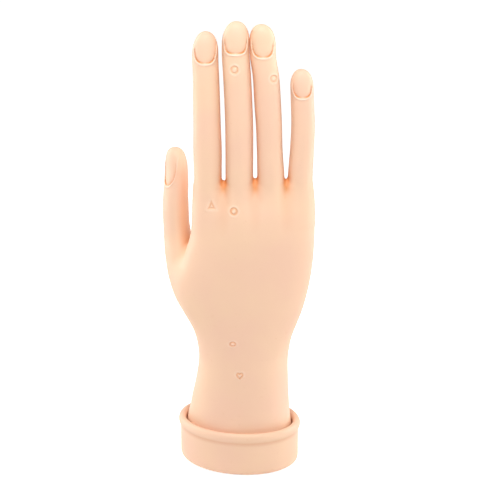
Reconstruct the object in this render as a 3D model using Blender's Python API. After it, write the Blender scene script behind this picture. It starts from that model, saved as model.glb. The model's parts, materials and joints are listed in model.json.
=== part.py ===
"""Nail practice hand: soft moulded skin on five bendable wires, standing in an oval cup.

The hand stands upright. The back of the hand faces -Y, the palm +Y and the thumb side is -X.
The origin is the middle of the cup's flat underside, +Z is up and every length is in metres.
"""

import math
from collections import namedtuple

import bpy
import bmesh
from mathutils import Matrix, Vector

MM = 0.001

# Clearance that two pieces keep where they meet
FIT = 0.3 * MM

# Oval cup, measured at its beaded rim
CUP_HALF_WIDTH = 33.1 * MM
CUP_HALF_DEPTH = 25.8 * MM
CUP_HEIGHT = 24.0 * MM
CUP_FLOOR = 3.0 * MM
CUP_EDGE_RADIUS = 5.0 * MM
BEAD_RADIUS = 1.8 * MM
BEAD_OVERHANG = 0.9 * MM

# Wrist and palm skin
WRIST_SLIT = 1.1 * MM
WEB_HEIGHT = 154.5 * MM
PALM_DEPTH = 30.0 * MM
SKIN_WALL = 3.0 * MM
CAVITY_BELOW_WEB = 18.5 * MM

# Plug that closes the wrist, and the wires set in it
PLUG_HEIGHT = 14.0 * MM
WIRE_RADIUS = 1.0 * MM
WIRE_SEAT = 8.0 * MM
WIRE_PITCH = 6.0 * MM
WIRE_TIP_COVER = 8.0 * MM

# Finger sizes at the root hinge, and the lengths from there to the fingertip
INDEX_WIDTH = 14.4 * MM
MIDDLE_WIDTH = 14.2 * MM
RING_WIDTH = 13.7 * MM
LITTLE_WIDTH = 12.6 * MM
THUMB_WIDTH = 14.0 * MM
INDEX_LENGTH = 72.0 * MM
MIDDLE_LENGTH = 77.0 * MM
RING_LENGTH = 75.4 * MM
LITTLE_LENGTH = 53.2 * MM
THUMB_LENGTH = 43.0 * MM
INDEX_MIDDLE_GAP = 1.8 * MM
MIDDLE_RING_GAP = 2.0 * MM
RING_LITTLE_GAP = 2.3 * MM
FINGERTIP_GAP = 0.5 * MM
ROOT_ABOVE_WEB = 3.5 * MM
KNUCKLE_ARCH = 1.2 * MM

# Thumb root hinge, measured from the cup's axis and down from the webs
THUMB_OFFSET = 33.1 * MM
THUMB_FORWARD = 12.0 * MM
THUMB_BELOW_WEB = 28.5 * MM

# Knuckle ball under the skin's surface, and the slot that false nails slide into
BALL_INSET = 0.8 * MM
NAIL_SLOT_RADIUS = 0.55 * MM

# Angles in degrees. The cup and the wrist's foot stand turned under the hand.
CUP_TURN = -16.0
INDEX_LEAN = -0.6
MIDDLE_LEAN = -1.1
THUMB_LEAN = 1.5
THUMB_TURN = -50.0
NAIL_SPREAD = 56.0
STOP_MARGIN = 4.0
ROOT_RANGE = (-10.0, 60.0)
KNUCKLE_RANGE = (0.0, 70.0)
TIP_RANGE = (0.0, 35.0)
THUMB_ROOT_RANGE = (-10.0, 35.0)
THUMB_TIP_RANGE = (0.0, 50.0)

# How far a cutter passes the surface that it cuts
OVERRUN = 2.0 * MM

# Where each finger's hinges lie, as shares of its length
FINGER_HINGE_SHARES = (0.0, 0.345, 0.67)
LITTLE_HINGE_SHARES = (0.0, 0.32, 0.605)
THUMB_HINGE_SHARES = (0.0, 0.42)

# How far back the four knuckles stand, as shares of the arch
KNUCKLE_ARCH_SHARES = (0.0, 1.0, 0.7, -0.6)

# Left edge of the index finger as a share of the knuckle breadth
KNUCKLE_LEFT_SHARE = -0.375

# Finger form: place along it, half width, half depth at the back and at the front.
# The first is a share of its length and the others of its half width at the root.
FINGER_SHARES = (
    (-0.40, 1.00, 0.98, 0.98),
    (0.00, 1.00, 1.00, 1.00),
    (0.18, 0.99, 0.97, 0.97),
    (0.345, 1.01, 0.96, 0.96),
    (0.52, 0.98, 0.92, 0.93),
    (0.67, 0.96, 0.90, 0.90),
    (0.80, 0.92, 0.80, 0.88),
    (0.90, 0.89, 0.70, 0.86),
)
FINGERTIP_ROUND_SHARE = 1.05
FINGERTIP_STEPS = 4
FINGERTIP_LAST_ANGLE = 80.0

# Nail outline: cuticle and side wall as shares of the half width, measured from the fingertip
NAIL_CUTICLE_SHARE = 2.25
NAIL_SIDE_SHARE = 0.95
NAIL_CURVE_POWER = 2.6
NAIL_STEPS = 10

# Wrist and palm form: height, left, right, back and front.
# Height is a share of the web height, the sides of the knuckle breadth, the rest of the palm depth.
PALM_SHARES = (
    (0.191, -0.435, 0.447, 0.667, 0.667),
    (0.233, -0.415, 0.440, 0.627, 0.627),
    (0.291, -0.382, 0.433, 0.587, 0.587),
    (0.395, -0.353, 0.434, 0.540, 0.547),
    (0.453, -0.376, 0.461, 0.520, 0.560),
    (0.498, -0.415, 0.502, 0.507, 0.573),
    (0.544, -0.460, 0.545, 0.493, 0.580),
    (0.595, -0.499, 0.581, 0.480, 0.580),
    (0.673, -0.509, 0.619, 0.460, 0.560),
    (0.757, -0.453, 0.640, 0.440, 0.520),
    (0.828, -0.401, 0.645, 0.413, 0.467),
    (0.893, -0.388, 0.640, 0.353, 0.387),
    (0.939, -0.384, 0.635, 0.273, 0.300),
    (0.971, -0.381, 0.624, 0.213, 0.220),
    (0.990, -0.371, 0.611, 0.173, 0.163),
    (1.000, -0.353, 0.594, 0.120, 0.107),
)
WAIST_SHARE = 0.395
OVAL_POWER = 2.0
PALM_POWER = 2.3
CAVITY_DOME_SHARE = 0.8

# Ball of the thumb: height, sideways place, forward place and radius,
# as shares of the thumb hinge's height, offset and forward place and of the thumb's half width
THUMB_BALL_SHARES = (
    (0.55, 0.30, 0.20, 0.70),
    (0.62, 0.45, 0.35, 1.35),
    (0.70, 0.62, 0.50, 1.72),
    (0.80, 0.79, 0.72, 1.62),
    (0.90, 0.925, 0.92, 1.32),
    (0.97, 0.99, 1.00, 1.06),
    (1.06, 1.00, 1.00, 1.00),
)

# Places of the wires in the plug, in pitches from the wrist's middle, thumb side first
WIRE_PLACE_SHARES = {"thumb": -2.0, "index": -1.0, "middle": 0.0, "ring": 1.0, "little": 2.0}
WIRE_FOOT_EASE_SHARE = 0.60
WIRE_ROOT_EASE_SHARE = 0.25
WIRE_BEND_STEPS = 7

# Facets round each kind of form
PALM_SIDES = 28
CAVITY_SIDES = 16
CUP_SIDES = 36
FINGER_SIDES = 16
BALL_SIDES = 16
BALL_RINGS = 8
BORE_SIDES = 8
ARC_STEPS = 4
TUBE_ROUNDNESS = 2
SLOT_ROUNDNESS = 1
WELD_SHARE = 0.001
HALF_FACET = 0.5
SHARP_ANGLE = math.radians(40.0)

Hinge = namedtuple("Hinge", "along low high")
Finger = namedtuple("Finger", "name length half_width root lean turn hinges")


# Scene helpers

def clear_scene():
    for obj in list(bpy.data.objects):
        bpy.data.objects.remove(obj, do_unlink=True)


def make_collection(name):
    group = bpy.data.collections.new(name)
    bpy.context.scene.collection.children.link(group)
    return group


def make_material(name, colour, roughness, metallic=0.0):
    material = bpy.data.materials.new(name)
    material.use_nodes = True
    shader = material.node_tree.nodes["Principled BSDF"]
    shader.inputs["Base Color"].default_value = (*colour, 1.0)
    shader.inputs["Roughness"].default_value = roughness
    shader.inputs["Metallic"].default_value = metallic
    return material


def skin_material(name):
    return make_material(name, (0.93, 0.68, 0.52), 0.55)


def add_mesh_object(name, mesh, group):
    obj = bpy.data.objects.new(name, mesh)
    group.objects.link(obj)
    return obj


def add_piece(name, mesh, material):
    """A visible piece, smooth but for its sharp edges."""
    mesh.materials.append(material)
    mesh.shade_smooth()
    mesh.set_sharp_from_angle(angle=SHARP_ANGLE)
    return add_mesh_object(name, mesh, PARTS)


def add_cutter(name, mesh, parent=None):
    cutter = add_mesh_object(name, mesh, CUTTERS)
    cutter.hide_render = True
    cutter.display_type = "WIRE"
    cutter.parent = parent
    return cutter


def combine(obj, other, operation):
    step = obj.modifiers.new(f"{operation.lower()} {other.name}", "BOOLEAN")
    step.operation = operation
    step.solver = "EXACT"
    step.object = other


def cut(obj, *cutters):
    for cutter in cutters:
        combine(obj, cutter, "DIFFERENCE")


def unite(obj, *others):
    for other in others:
        combine(obj, other, "UNION")


# Form helpers

def lerp(a, b, share):
    return a + (b - a) * share


def rows_at(rows, place):
    """The row of a table at any place along it, between its nearest two rows."""
    for low, high in zip(rows, rows[1:]):
        if place <= high[0]:
            share = max(0.0, (place - low[0]) / (high[0] - low[0]))
            return tuple(lerp(a, b, share) for a, b in zip(low[1:], high[1:]))
    return tuple(rows[-1][1:])


def rounded_power(value, power):
    return math.copysign(abs(value) ** (2.0 / power), value)


def section(height, left, right, back, front, sides, power=OVAL_POWER, phase=0.0):
    """One closed ring: an oval whose back and front halves may differ in depth."""
    middle = (left + right) / 2
    half = (right - left) / 2
    ring = []
    for step in range(sides):
        angle = 2 * math.pi * (step + phase) / sides
        across = rounded_power(math.cos(angle), power)
        deep = rounded_power(math.sin(angle), power)
        depth = front if deep > 0 else back
        ring.append(Vector((middle + half * across, depth * deep, height)))
    return ring


def loft(name, rings):
    """A closed solid through rings of equal count. Its sides are triangles, so that each is flat."""
    shape = bmesh.new()
    loops = [[shape.verts.new(point) for point in ring] for ring in rings]
    count = len(loops[0])
    for low, high in zip(loops, loops[1:]):
        for step in range(count):
            after = (step + 1) % count
            shape.faces.new((low[step], low[after], high[after], high[step]))
    bmesh.ops.triangulate(shape, faces=shape.faces)
    shape.faces.new(reversed(loops[0]))
    shape.faces.new(loops[-1])
    bmesh.ops.recalc_face_normals(shape, faces=shape.faces)
    mesh = bpy.data.meshes.new(name)
    shape.to_mesh(mesh)
    shape.free()
    return mesh


def ellipsoid(name, half_width, radius, along):
    """An egg that is round about the X axis, so that it can turn in its socket.

    It is turned by half a facet, so that none of its edges lies on the hinge's own planes.
    """
    shape = bmesh.new()
    bmesh.ops.create_uvsphere(shape, u_segments=BALL_SIDES, v_segments=BALL_RINGS, radius=1.0)
    place = (Matrix.Translation((0, 0, along))
             @ Matrix.Diagonal((half_width, radius, radius, 1.0))
             @ Matrix.Rotation(math.pi / 2, 4, "Y")
             @ Matrix.Rotation(math.pi / BALL_SIDES, 4, "Z"))
    shape.transform(place)
    bmesh.ops.triangulate(shape, faces=shape.faces)
    mesh = bpy.data.meshes.new(name)
    shape.to_mesh(mesh)
    shape.free()
    return mesh


def rod(name, radius, low, high):
    """An upright round rod from one height to another."""
    shape = bmesh.new()
    bmesh.ops.create_cone(shape, cap_ends=True, segments=BORE_SIDES, radius1=radius, radius2=radius,
                          depth=high - low, matrix=Matrix.Translation((0, 0, (low + high) / 2)))
    mesh = bpy.data.meshes.new(name)
    shape.to_mesh(mesh)
    shape.free()
    return mesh


def tube_curve(name, points, radius, group, roundness=TUBE_ROUNDNESS):
    """A round tube along points, with filled ends."""
    data = bpy.data.curves.new(name, "CURVE")
    data.dimensions = "3D"
    data.bevel_depth = radius
    data.bevel_resolution = roundness
    data.use_fill_caps = True
    spline = data.splines.new("POLY")
    spline.points.add(len(points) - 1)
    for place, point in zip(spline.points, points):
        place.co = (*point, 1.0)
    tube = bpy.data.objects.new(name, data)
    group.objects.link(tube)
    return tube


def tube_cutter(name, points, radius, parent=None, roundness=TUBE_ROUNDNESS):
    """The same tube as a closed mesh, for cutting."""
    tube = tube_curve(name, points, radius, CUTTERS, roundness)
    bpy.context.view_layer.update()
    graph = bpy.context.evaluated_depsgraph_get()
    mesh = bpy.data.meshes.new_from_object(tube.evaluated_get(graph))
    shape = bmesh.new()
    shape.from_mesh(mesh)
    bmesh.ops.remove_doubles(shape, verts=shape.verts, dist=radius * WELD_SHARE)
    bmesh.ops.triangulate(shape, faces=shape.faces)
    bmesh.ops.recalc_face_normals(shape, faces=shape.faces)
    shape.to_mesh(mesh)
    shape.free()
    bpy.data.objects.remove(tube)
    return add_cutter(name, mesh, parent)


# Fingers

def knuckle_breadth():
    return (INDEX_WIDTH + MIDDLE_WIDTH + RING_WIDTH + LITTLE_WIDTH
            + INDEX_MIDDLE_GAP + MIDDLE_RING_GAP + RING_LITTLE_GAP)


def thumb_height():
    return WEB_HEIGHT - THUMB_BELOW_WEB


def root_places():
    """Middles of the four finger roots across the hand, from the index finger on."""
    widths = (INDEX_WIDTH, MIDDLE_WIDTH, RING_WIDTH, LITTLE_WIDTH)
    gaps = (INDEX_MIDDLE_GAP, MIDDLE_RING_GAP, RING_LITTLE_GAP, 0)
    edge = KNUCKLE_LEFT_SHARE * knuckle_breadth()
    places = []
    for width, gap in zip(widths, gaps):
        places.append(edge + width / 2)
        edge += width + gap
    return places


def ring_lean():
    """The ring finger leans over until its tip almost touches the middle finger's."""
    width_share = FINGER_SHARES[-2][1]
    apart = (MIDDLE_WIDTH + RING_WIDTH) / 2 + MIDDLE_RING_GAP
    closed = (MIDDLE_WIDTH + RING_WIDTH) / 2 * width_share + FINGERTIP_GAP
    reach = FINGER_SHARES[-2][0] * min(MIDDLE_LENGTH, RING_LENGTH)
    return MIDDLE_LEAN - math.degrees(math.atan2(apart - closed, reach))


def hinges_of(length, shares, ranges):
    return [Hinge(length * share, low, high) for share, (low, high) in zip(shares, ranges)]


def make_fingers():
    ranges = (ROOT_RANGE, KNUCKLE_RANGE, TIP_RANGE)
    sizes = (
        ("index", INDEX_LENGTH, INDEX_WIDTH, INDEX_LEAN, FINGER_HINGE_SHARES),
        ("middle", MIDDLE_LENGTH, MIDDLE_WIDTH, MIDDLE_LEAN, FINGER_HINGE_SHARES),
        ("ring", RING_LENGTH, RING_WIDTH, ring_lean(), FINGER_HINGE_SHARES),
        ("little", LITTLE_LENGTH, LITTLE_WIDTH, 0.0, LITTLE_HINGE_SHARES),
    )
    fingers = []
    for (name, length, width, lean, shares), across, arch in zip(sizes, root_places(),
                                                                 KNUCKLE_ARCH_SHARES):
        root = Vector((across, -KNUCKLE_ARCH * arch, WEB_HEIGHT + ROOT_ABOVE_WEB))
        fingers.append(Finger(name, length, width / 2, root, lean, 0.0,
                              hinges_of(length, shares, ranges)))
    root = Vector((-THUMB_OFFSET, THUMB_FORWARD, thumb_height()))
    fingers.append(Finger("thumb", THUMB_LENGTH, THUMB_WIDTH / 2, root, THUMB_LEAN, THUMB_TURN,
                          hinges_of(THUMB_LENGTH, THUMB_HINGE_SHARES,
                                    (THUMB_ROOT_RANGE, THUMB_TIP_RANGE))))
    return fingers


def finger_matrix(finger):
    """The finger's own frame: Z along it, -Y at its nail and +Y the way it curls."""
    return (Matrix.Translation(finger.root)
            @ Matrix.Rotation(math.radians(finger.lean), 4, "Y")
            @ Matrix.Rotation(math.radians(finger.turn), 4, "Z"))


def half_sizes(finger, along):
    """Half width, and half depth at the back and front, at a place along a finger."""
    sizes = rows_at(FINGER_SHARES, along / finger.length)
    return tuple(finger.half_width * share for share in sizes)


def finger_section(finger, along, shrink=1.0):
    """One section of a finger, with a flat and no corner at its sides, where the hinge lies."""
    flats = shrink / math.cos(math.pi / FINGER_SIDES)
    width, back, front = (size * flats for size in half_sizes(finger, along))
    return section(along, -width, width, back, front, FINGER_SIDES, phase=HALF_FACET)


def finger_mesh(finger, name):
    """The whole outside of one finger, from inside the palm to its rounded tip."""
    tip_round = finger.half_width * FINGERTIP_ROUND_SHARE
    start = finger.length - tip_round
    places = [row[0] * finger.length for row in FINGER_SHARES if row[0] * finger.length < start]
    rings = [finger_section(finger, place) for place in places]
    for step in range(FINGERTIP_STEPS + 1):
        angle = math.radians(FINGERTIP_LAST_ANGLE) * step / FINGERTIP_STEPS
        rings.append(finger_section(finger, start + tip_round * math.sin(angle), math.cos(angle)))
    return loft(name, rings)


def hinge_prism(finger, hinge, beyond):
    """A wedge that clears one side of a hinge: half of the angle that the joint closes."""
    reach = finger.length
    tall = 2 * finger.length
    wide = finger.half_width * 2
    close = reach * math.tan(math.radians((hinge.high + STOP_MARGIN) / 2))
    open_angle = (STOP_MARGIN - hinge.low) / 2 if hinge.low < 0 else 0.0
    open_back = reach * math.tan(math.radians(open_angle))
    outline = [(0, 0), (reach, -close), (reach, tall), (-reach, tall), (-reach, -open_back)]
    side = 1 if beyond else -1
    rings = []
    for across in (-wide, wide):
        rings.append([Vector((across, y, hinge.along + side * (z - FIT / 2))) for y, z in outline])
    return loft("wedge", rings)


def ball_sizes(finger, hinge):
    width, back, front = half_sizes(finger, hinge.along)
    return width - BALL_INSET, min(back, front) - BALL_INSET


def ball_cutter(finger, hinge, name, parent, clearance=0.0):
    width, radius = ball_sizes(finger, hinge)
    mesh = ellipsoid(name, width + clearance, radius + clearance, hinge.along)
    return add_cutter(name, mesh, parent)


def nail_slot_points(finger):
    """The U of the cuticle and side walls, lying on the finger's back."""
    cuticle = finger.length - NAIL_CUTICLE_SHARE * finger.half_width
    side_top = finger.length - NAIL_SIDE_SHARE * finger.half_width
    points = []
    for step in range(NAIL_STEPS + 1):
        turn = lerp(-1.0, 1.0, step / NAIL_STEPS)
        angle = math.pi / 2 * turn
        across = rounded_power(math.sin(angle), NAIL_CURVE_POWER)
        rise = 1 - abs(math.cos(angle)) ** (2.0 / NAIL_CURVE_POWER)
        along = lerp(cuticle, side_top, rise)
        width, back, _ = half_sizes(finger, along)
        spread = math.radians(NAIL_SPREAD) * across
        points.append(Vector((width * math.sin(spread), -back * math.cos(spread), along)))
    return points


def piece_names(finger):
    return ("proximal", "middle", "tip") if len(finger.hinges) == 3 else ("proximal", "tip")


def make_finger(finger):
    """The rigid lengths of skin between one finger's bending places, each on the one before."""
    frame = bpy.data.objects.new(f"{finger.name}_frame", None)
    frame.matrix_world = finger_matrix(finger)
    PARTS.objects.link(frame)
    wire_end = finger.length - WIRE_TIP_COVER
    bore = add_cutter(f"{finger.name}_bore",
                      rod("bore", WIRE_RADIUS + FIT, -OVERRUN, wire_end + FIT), frame)
    parent, parent_along = frame, 0.0
    hinges = finger.hinges
    for number, (hinge, label) in enumerate(zip(hinges, piece_names(finger))):
        name = f"{finger.name}_{label}_skin"
        mesh = finger_mesh(finger, name)
        mesh.transform(Matrix.Translation((0, 0, -hinge.along)))
        piece = add_piece(name, mesh, skin_material(f"{name}_vinyl"))
        piece.parent = parent
        piece.location = (0, 0, hinge.along - parent_along)
        cut(piece,
            add_cutter(f"{name}_below", hinge_prism(finger, hinge, False), frame),
            ball_cutter(finger, hinge, f"{name}_socket", frame, FIT))
        if number + 1 < len(hinges):
            after = hinges[number + 1]
            cut(piece, add_cutter(f"{name}_above", hinge_prism(finger, after, True), frame))
            unite(piece, ball_cutter(finger, after, f"{name}_ball", frame))
        else:
            cut(piece, tube_cutter(f"{name}_nail_slot", nail_slot_points(finger),
                                   NAIL_SLOT_RADIUS, frame, SLOT_ROUNDNESS))
        cut(piece, bore)
        parent, parent_along = piece, hinge.along
    return frame


# Wires

def wire_foot(finger):
    """Where a finger's wire stands in the plug, in a row along the wrist's oval."""
    return cup_turn() @ Vector((WIRE_PLACE_SHARES[finger.name] * WIRE_PITCH, 0, 0))


def palm_wire_points(finger):
    """The wire's run up the wrist and palm, bending smoothly into the finger's own line."""
    foot = wire_foot(finger)
    start = foot + Vector((0, 0, plug_top()))
    matrix = finger_matrix(finger)
    end = matrix.translation.copy()
    span = (end - start).length
    controls = (start, start + Vector((0, 0, span * WIRE_FOOT_EASE_SHARE)),
                end - span * WIRE_ROOT_EASE_SHARE * matrix.col[2].xyz, end)
    points = [foot + Vector((0, 0, plug_top() - WIRE_SEAT))]
    for step in range(WIRE_BEND_STEPS + 1):
        t = step / WIRE_BEND_STEPS
        weights = ((1 - t) ** 3, 3 * t * (1 - t) ** 2, 3 * t * t * (1 - t), t ** 3)
        points.append(sum((weight * point for weight, point in zip(weights, controls)), Vector()))
    return points


def wire_points(finger):
    matrix = finger_matrix(finger)
    along = [hinge.along for hinge in finger.hinges[1:]] + [finger.length - WIRE_TIP_COVER]
    return palm_wire_points(finger) + [matrix @ Vector((0, 0, place)) for place in along]


def make_wire(finger):
    name = f"{finger.name}_wire"
    wire = tube_curve(name, wire_points(finger), WIRE_RADIUS, PARTS)
    wire.data.materials.append(make_material(f"{name}_aluminium", (0.78, 0.78, 0.80), 0.35, 1.0))


def wire_bore(finger):
    """The clear way for a wire through the palm, a little longer at both ends."""
    points = palm_wire_points(finger)
    points[0].z -= FIT
    upward = finger_matrix(finger).col[2].xyz
    points.append(points[-1] + upward * finger.half_width)
    return tube_cutter(f"{finger.name}_palm_bore", points, WIRE_RADIUS + FIT)


# Wrist and palm

def plug_top():
    return CUP_FLOOR + FIT + PLUG_HEIGHT


def cavity_top():
    return WEB_HEIGHT - CAVITY_BELOW_WEB


def cup_turn(share=1.0):
    return Matrix.Rotation(math.radians(CUP_TURN) * share, 3, "Z")


def palm_rows():
    """The outside of the wrist and palm by height: left, right, back, front and squareness."""
    foot_inset = 2 * BEAD_RADIUS + FIT
    mouth_inset = 2 * BEAD_RADIUS + WRIST_SLIT
    rows = []
    for height, inset in ((CUP_FLOOR + FIT, foot_inset), (CUP_HEIGHT / 2, foot_inset),
                          (CUP_HEIGHT, mouth_inset)):
        width, depth = CUP_HALF_WIDTH - inset, CUP_HALF_DEPTH - inset
        rows.append((height, -width, width, depth, depth, OVAL_POWER))
    breadth = knuckle_breadth()
    for height, left, right, back, front in PALM_SHARES:
        rows.append((height * WEB_HEIGHT, left * breadth, right * breadth,
                     back * PALM_DEPTH, front * PALM_DEPTH, PALM_POWER))
    return rows


def palm_sizes(height):
    return rows_at(palm_rows(), height)


def palm_section(height, inset, sides, phase=0.0):
    """One section of the wrist and palm, turned with the cup at its foot and less further up."""
    left, right, back, front, power = palm_sizes(height)
    ring = section(height, left + inset, right - inset, back - inset, front - inset,
                   sides, power, phase)
    untwist = (height - CUP_HEIGHT) / (WEB_HEIGHT * WAIST_SHARE - CUP_HEIGHT)
    turn = cup_turn(1 - min(1.0, max(0.0, untwist)))
    return [turn @ point for point in ring]


def inner_section(height, inset):
    """A section of what lies inside the skin, turned by half a facet from the outside."""
    return palm_section(height, inset, CAVITY_SIDES, HALF_FACET)


def inner_loft(name, low, high, inset):
    """A solid that follows the skin's inside, domed where it ends in the palm."""
    heights = [low] + [row[0] for row in palm_rows() if low < row[0] < high]
    rings = [inner_section(height, inset) for height in heights]
    top = inner_section(high, inset)
    middle = sum(top, Vector()) / len(top)
    rings.append([lerp(middle, point, CAVITY_DOME_SHARE) for point in top])
    return loft(name, rings)


def thumb_ball_mesh(thumb):
    """The swelling that carries the thumb, from inside the palm up to the thumb's root."""
    rings = []
    for height, across, forward, radius in THUMB_BALL_SHARES:
        middle = Vector((-THUMB_OFFSET * across, THUMB_FORWARD * forward, 0))
        half = thumb.half_width * radius
        ring = section(thumb_height() * height, -half, half, half, half, FINGER_SIDES)
        rings.append([point + middle for point in ring])
    return loft("thumb_ball", rings)


def make_palm(fingers, bores):
    rings = [palm_section(row[0], 0, PALM_SIDES) for row in palm_rows()]
    mesh = loft("palm_skin", rings)
    palm = add_piece("palm_skin", mesh, skin_material("palm_skin_vinyl"))
    for finger in fingers:
        frame = bpy.data.objects[f"{finger.name}_frame"]
        root = finger.hinges[0]
        wedge = add_cutter(f"{finger.name}_root_wedge", hinge_prism(finger, root, True), frame)
        if finger.name == "thumb":
            stub = add_cutter("thumb_stub", thumb_ball_mesh(finger))
        else:
            stub = add_cutter(f"{finger.name}_stub", finger_mesh(finger, "stub"), frame)
        cut(stub, wedge)
        unite(palm, stub, ball_cutter(finger, root, f"{finger.name}_root_ball", frame))
    cut(palm, *bores)
    cut(palm, add_cutter("palm_cavity", inner_loft("cavity", -OVERRUN, cavity_top(), SKIN_WALL)))


def make_foam(bores):
    mesh = inner_loft("foam_core", plug_top() + FIT, cavity_top() - FIT, SKIN_WALL + FIT)
    foam = add_piece("foam_core", mesh, make_material("foam_core_foam", (0.90, 0.84, 0.62), 0.95))
    cut(foam, *bores)


def make_plug(bores):
    inset = SKIN_WALL + FIT
    heights = (CUP_FLOOR + FIT, CUP_HEIGHT / 2, plug_top())
    mesh = loft("wrist_plug", [inner_section(height, inset) for height in heights])
    plug = add_piece("wrist_plug", mesh, make_material("wrist_plug_plastic", (0.82, 0.80, 0.76), 0.5))
    cut(plug, *bores)


# Cup

def arc(centre_inset, centre_height, radius, start, end):
    """Points of a rounded edge as inset and height: 0 degrees is outwards and 90 is up."""
    points = []
    for step in range(ARC_STEPS + 1):
        angle = math.radians(lerp(start, end, step / ARC_STEPS))
        points.append((centre_inset - radius * math.cos(angle),
                       centre_height + radius * math.sin(angle)))
    return points


def make_cup():
    """An oval cup with a rounded foot and a beaded rim that overhangs its wall."""
    bead_start = -math.degrees(math.acos((BEAD_RADIUS - BEAD_OVERHANG) / BEAD_RADIUS))
    profile = arc(BEAD_OVERHANG + CUP_EDGE_RADIUS, CUP_EDGE_RADIUS, CUP_EDGE_RADIUS, -90, 0)
    profile += arc(BEAD_RADIUS, CUP_HEIGHT - BEAD_RADIUS, BEAD_RADIUS, bead_start, 60)
    profile += arc(BEAD_RADIUS, CUP_HEIGHT - BEAD_RADIUS, BEAD_RADIUS, 90, 180)
    profile.append((2 * BEAD_RADIUS, CUP_FLOOR))
    rings = []
    for inset, height in profile:
        width, depth = CUP_HALF_WIDTH - inset, CUP_HALF_DEPTH - inset
        ring = section(height, -width, width, depth, depth, CUP_SIDES)
        rings.append([cup_turn() @ point for point in ring])
    add_piece("base_cup", loft("base_cup", rings), skin_material("base_cup_vinyl"))


clear_scene()
PARTS = make_collection("nail_practice_hand")
CUTTERS = make_collection("cutters")

FINGERS = make_fingers()
for each in FINGERS:
    make_finger(each)
    make_wire(each)
BORES = [wire_bore(each) for each in FINGERS]
make_palm(FINGERS, BORES)
make_foam(BORES)
make_plug(BORES)
make_cup()
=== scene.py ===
"""Nail practice hand: the soft moulded skin, its cup, the foam and wires inside, and the stage.

The hand stands upright with its back to -Y, its thumb side to -X and +Z up. Forms are worked out in
millimetres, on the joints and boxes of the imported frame, and meshes are made in metres.
"""

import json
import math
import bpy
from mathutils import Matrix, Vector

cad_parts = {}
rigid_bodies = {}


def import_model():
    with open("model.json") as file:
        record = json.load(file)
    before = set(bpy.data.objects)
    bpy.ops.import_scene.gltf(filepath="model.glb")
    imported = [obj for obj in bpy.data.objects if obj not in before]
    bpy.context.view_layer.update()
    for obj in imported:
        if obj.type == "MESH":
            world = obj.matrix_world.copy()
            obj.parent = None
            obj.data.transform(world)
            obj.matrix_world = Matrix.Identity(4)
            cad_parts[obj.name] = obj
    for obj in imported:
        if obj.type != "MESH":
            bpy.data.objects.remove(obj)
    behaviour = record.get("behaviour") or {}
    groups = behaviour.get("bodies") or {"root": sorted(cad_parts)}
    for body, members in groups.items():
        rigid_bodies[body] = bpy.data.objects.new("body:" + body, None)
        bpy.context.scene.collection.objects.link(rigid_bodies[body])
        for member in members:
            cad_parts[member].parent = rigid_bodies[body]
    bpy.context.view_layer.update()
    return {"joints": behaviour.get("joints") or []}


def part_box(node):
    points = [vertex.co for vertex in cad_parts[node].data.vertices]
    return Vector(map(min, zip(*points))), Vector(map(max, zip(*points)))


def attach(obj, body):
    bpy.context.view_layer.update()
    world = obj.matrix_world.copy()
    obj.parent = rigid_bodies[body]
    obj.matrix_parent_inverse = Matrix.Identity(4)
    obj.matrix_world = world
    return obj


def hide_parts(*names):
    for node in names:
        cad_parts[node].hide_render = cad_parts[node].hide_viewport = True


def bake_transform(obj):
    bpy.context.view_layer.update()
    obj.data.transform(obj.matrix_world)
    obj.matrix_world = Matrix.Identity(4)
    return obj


bl_info = {
    "name": "Nail Practice Hand",
    "version": (1, 0, 0),
    "blender": (4, 5, 0),
    "location": "3D View > Sidebar > Practice Hand",
    "description": "Builds a soft bendable practice hand standing in its beaded cup",
    "category": "Add Mesh",
}

from collections import namedtuple

import bmesh
import bpy
import numpy as np
from mathutils import Matrix, Vector

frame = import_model()
JOINTS = {joint["name"]: joint for joint in frame["joints"]}

MM = 0.001

# The wrist and palm: height as a share of the web height, left and right as shares of the
# knuckle breadth, back and front as shares of the palm depth, and how square the section is
WEB_HEIGHT = 154.5
KNUCKLE_BREADTH = 61.0
PALM_DEPTH = 30.0
PALM_POWER = 2.3
PALM_SHARES = (
    (0.191, -0.435, 0.447, 0.667, 0.667),
    (0.233, -0.415, 0.440, 0.627, 0.627),
    (0.291, -0.382, 0.433, 0.587, 0.587),
    (0.395, -0.353, 0.434, 0.540, 0.547),
    (0.453, -0.376, 0.461, 0.520, 0.560),
    (0.498, -0.415, 0.502, 0.507, 0.573),
    (0.544, -0.460, 0.545, 0.493, 0.580),
    (0.595, -0.499, 0.581, 0.480, 0.580),
    (0.673, -0.509, 0.619, 0.460, 0.560),
    (0.757, -0.453, 0.640, 0.440, 0.520),
    (0.828, -0.401, 0.645, 0.413, 0.467),
    (0.893, -0.388, 0.640, 0.353, 0.387),
    (0.939, -0.384, 0.635, 0.273, 0.300),
    (0.971, -0.381, 0.624, 0.213, 0.220),
    (0.990, -0.371, 0.611, 0.173, 0.163),
    (1.000, -0.353, 0.594, 0.120, 0.107),
)
WAIST_SHARE = 0.395
PALM_RELIEF_TOP = 158

# Where the wrist draws in below the cup's rim: share of the rim's height, and its gap in fits
FOOT_DRAWS_IN = (0.86, 1.6)

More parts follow.
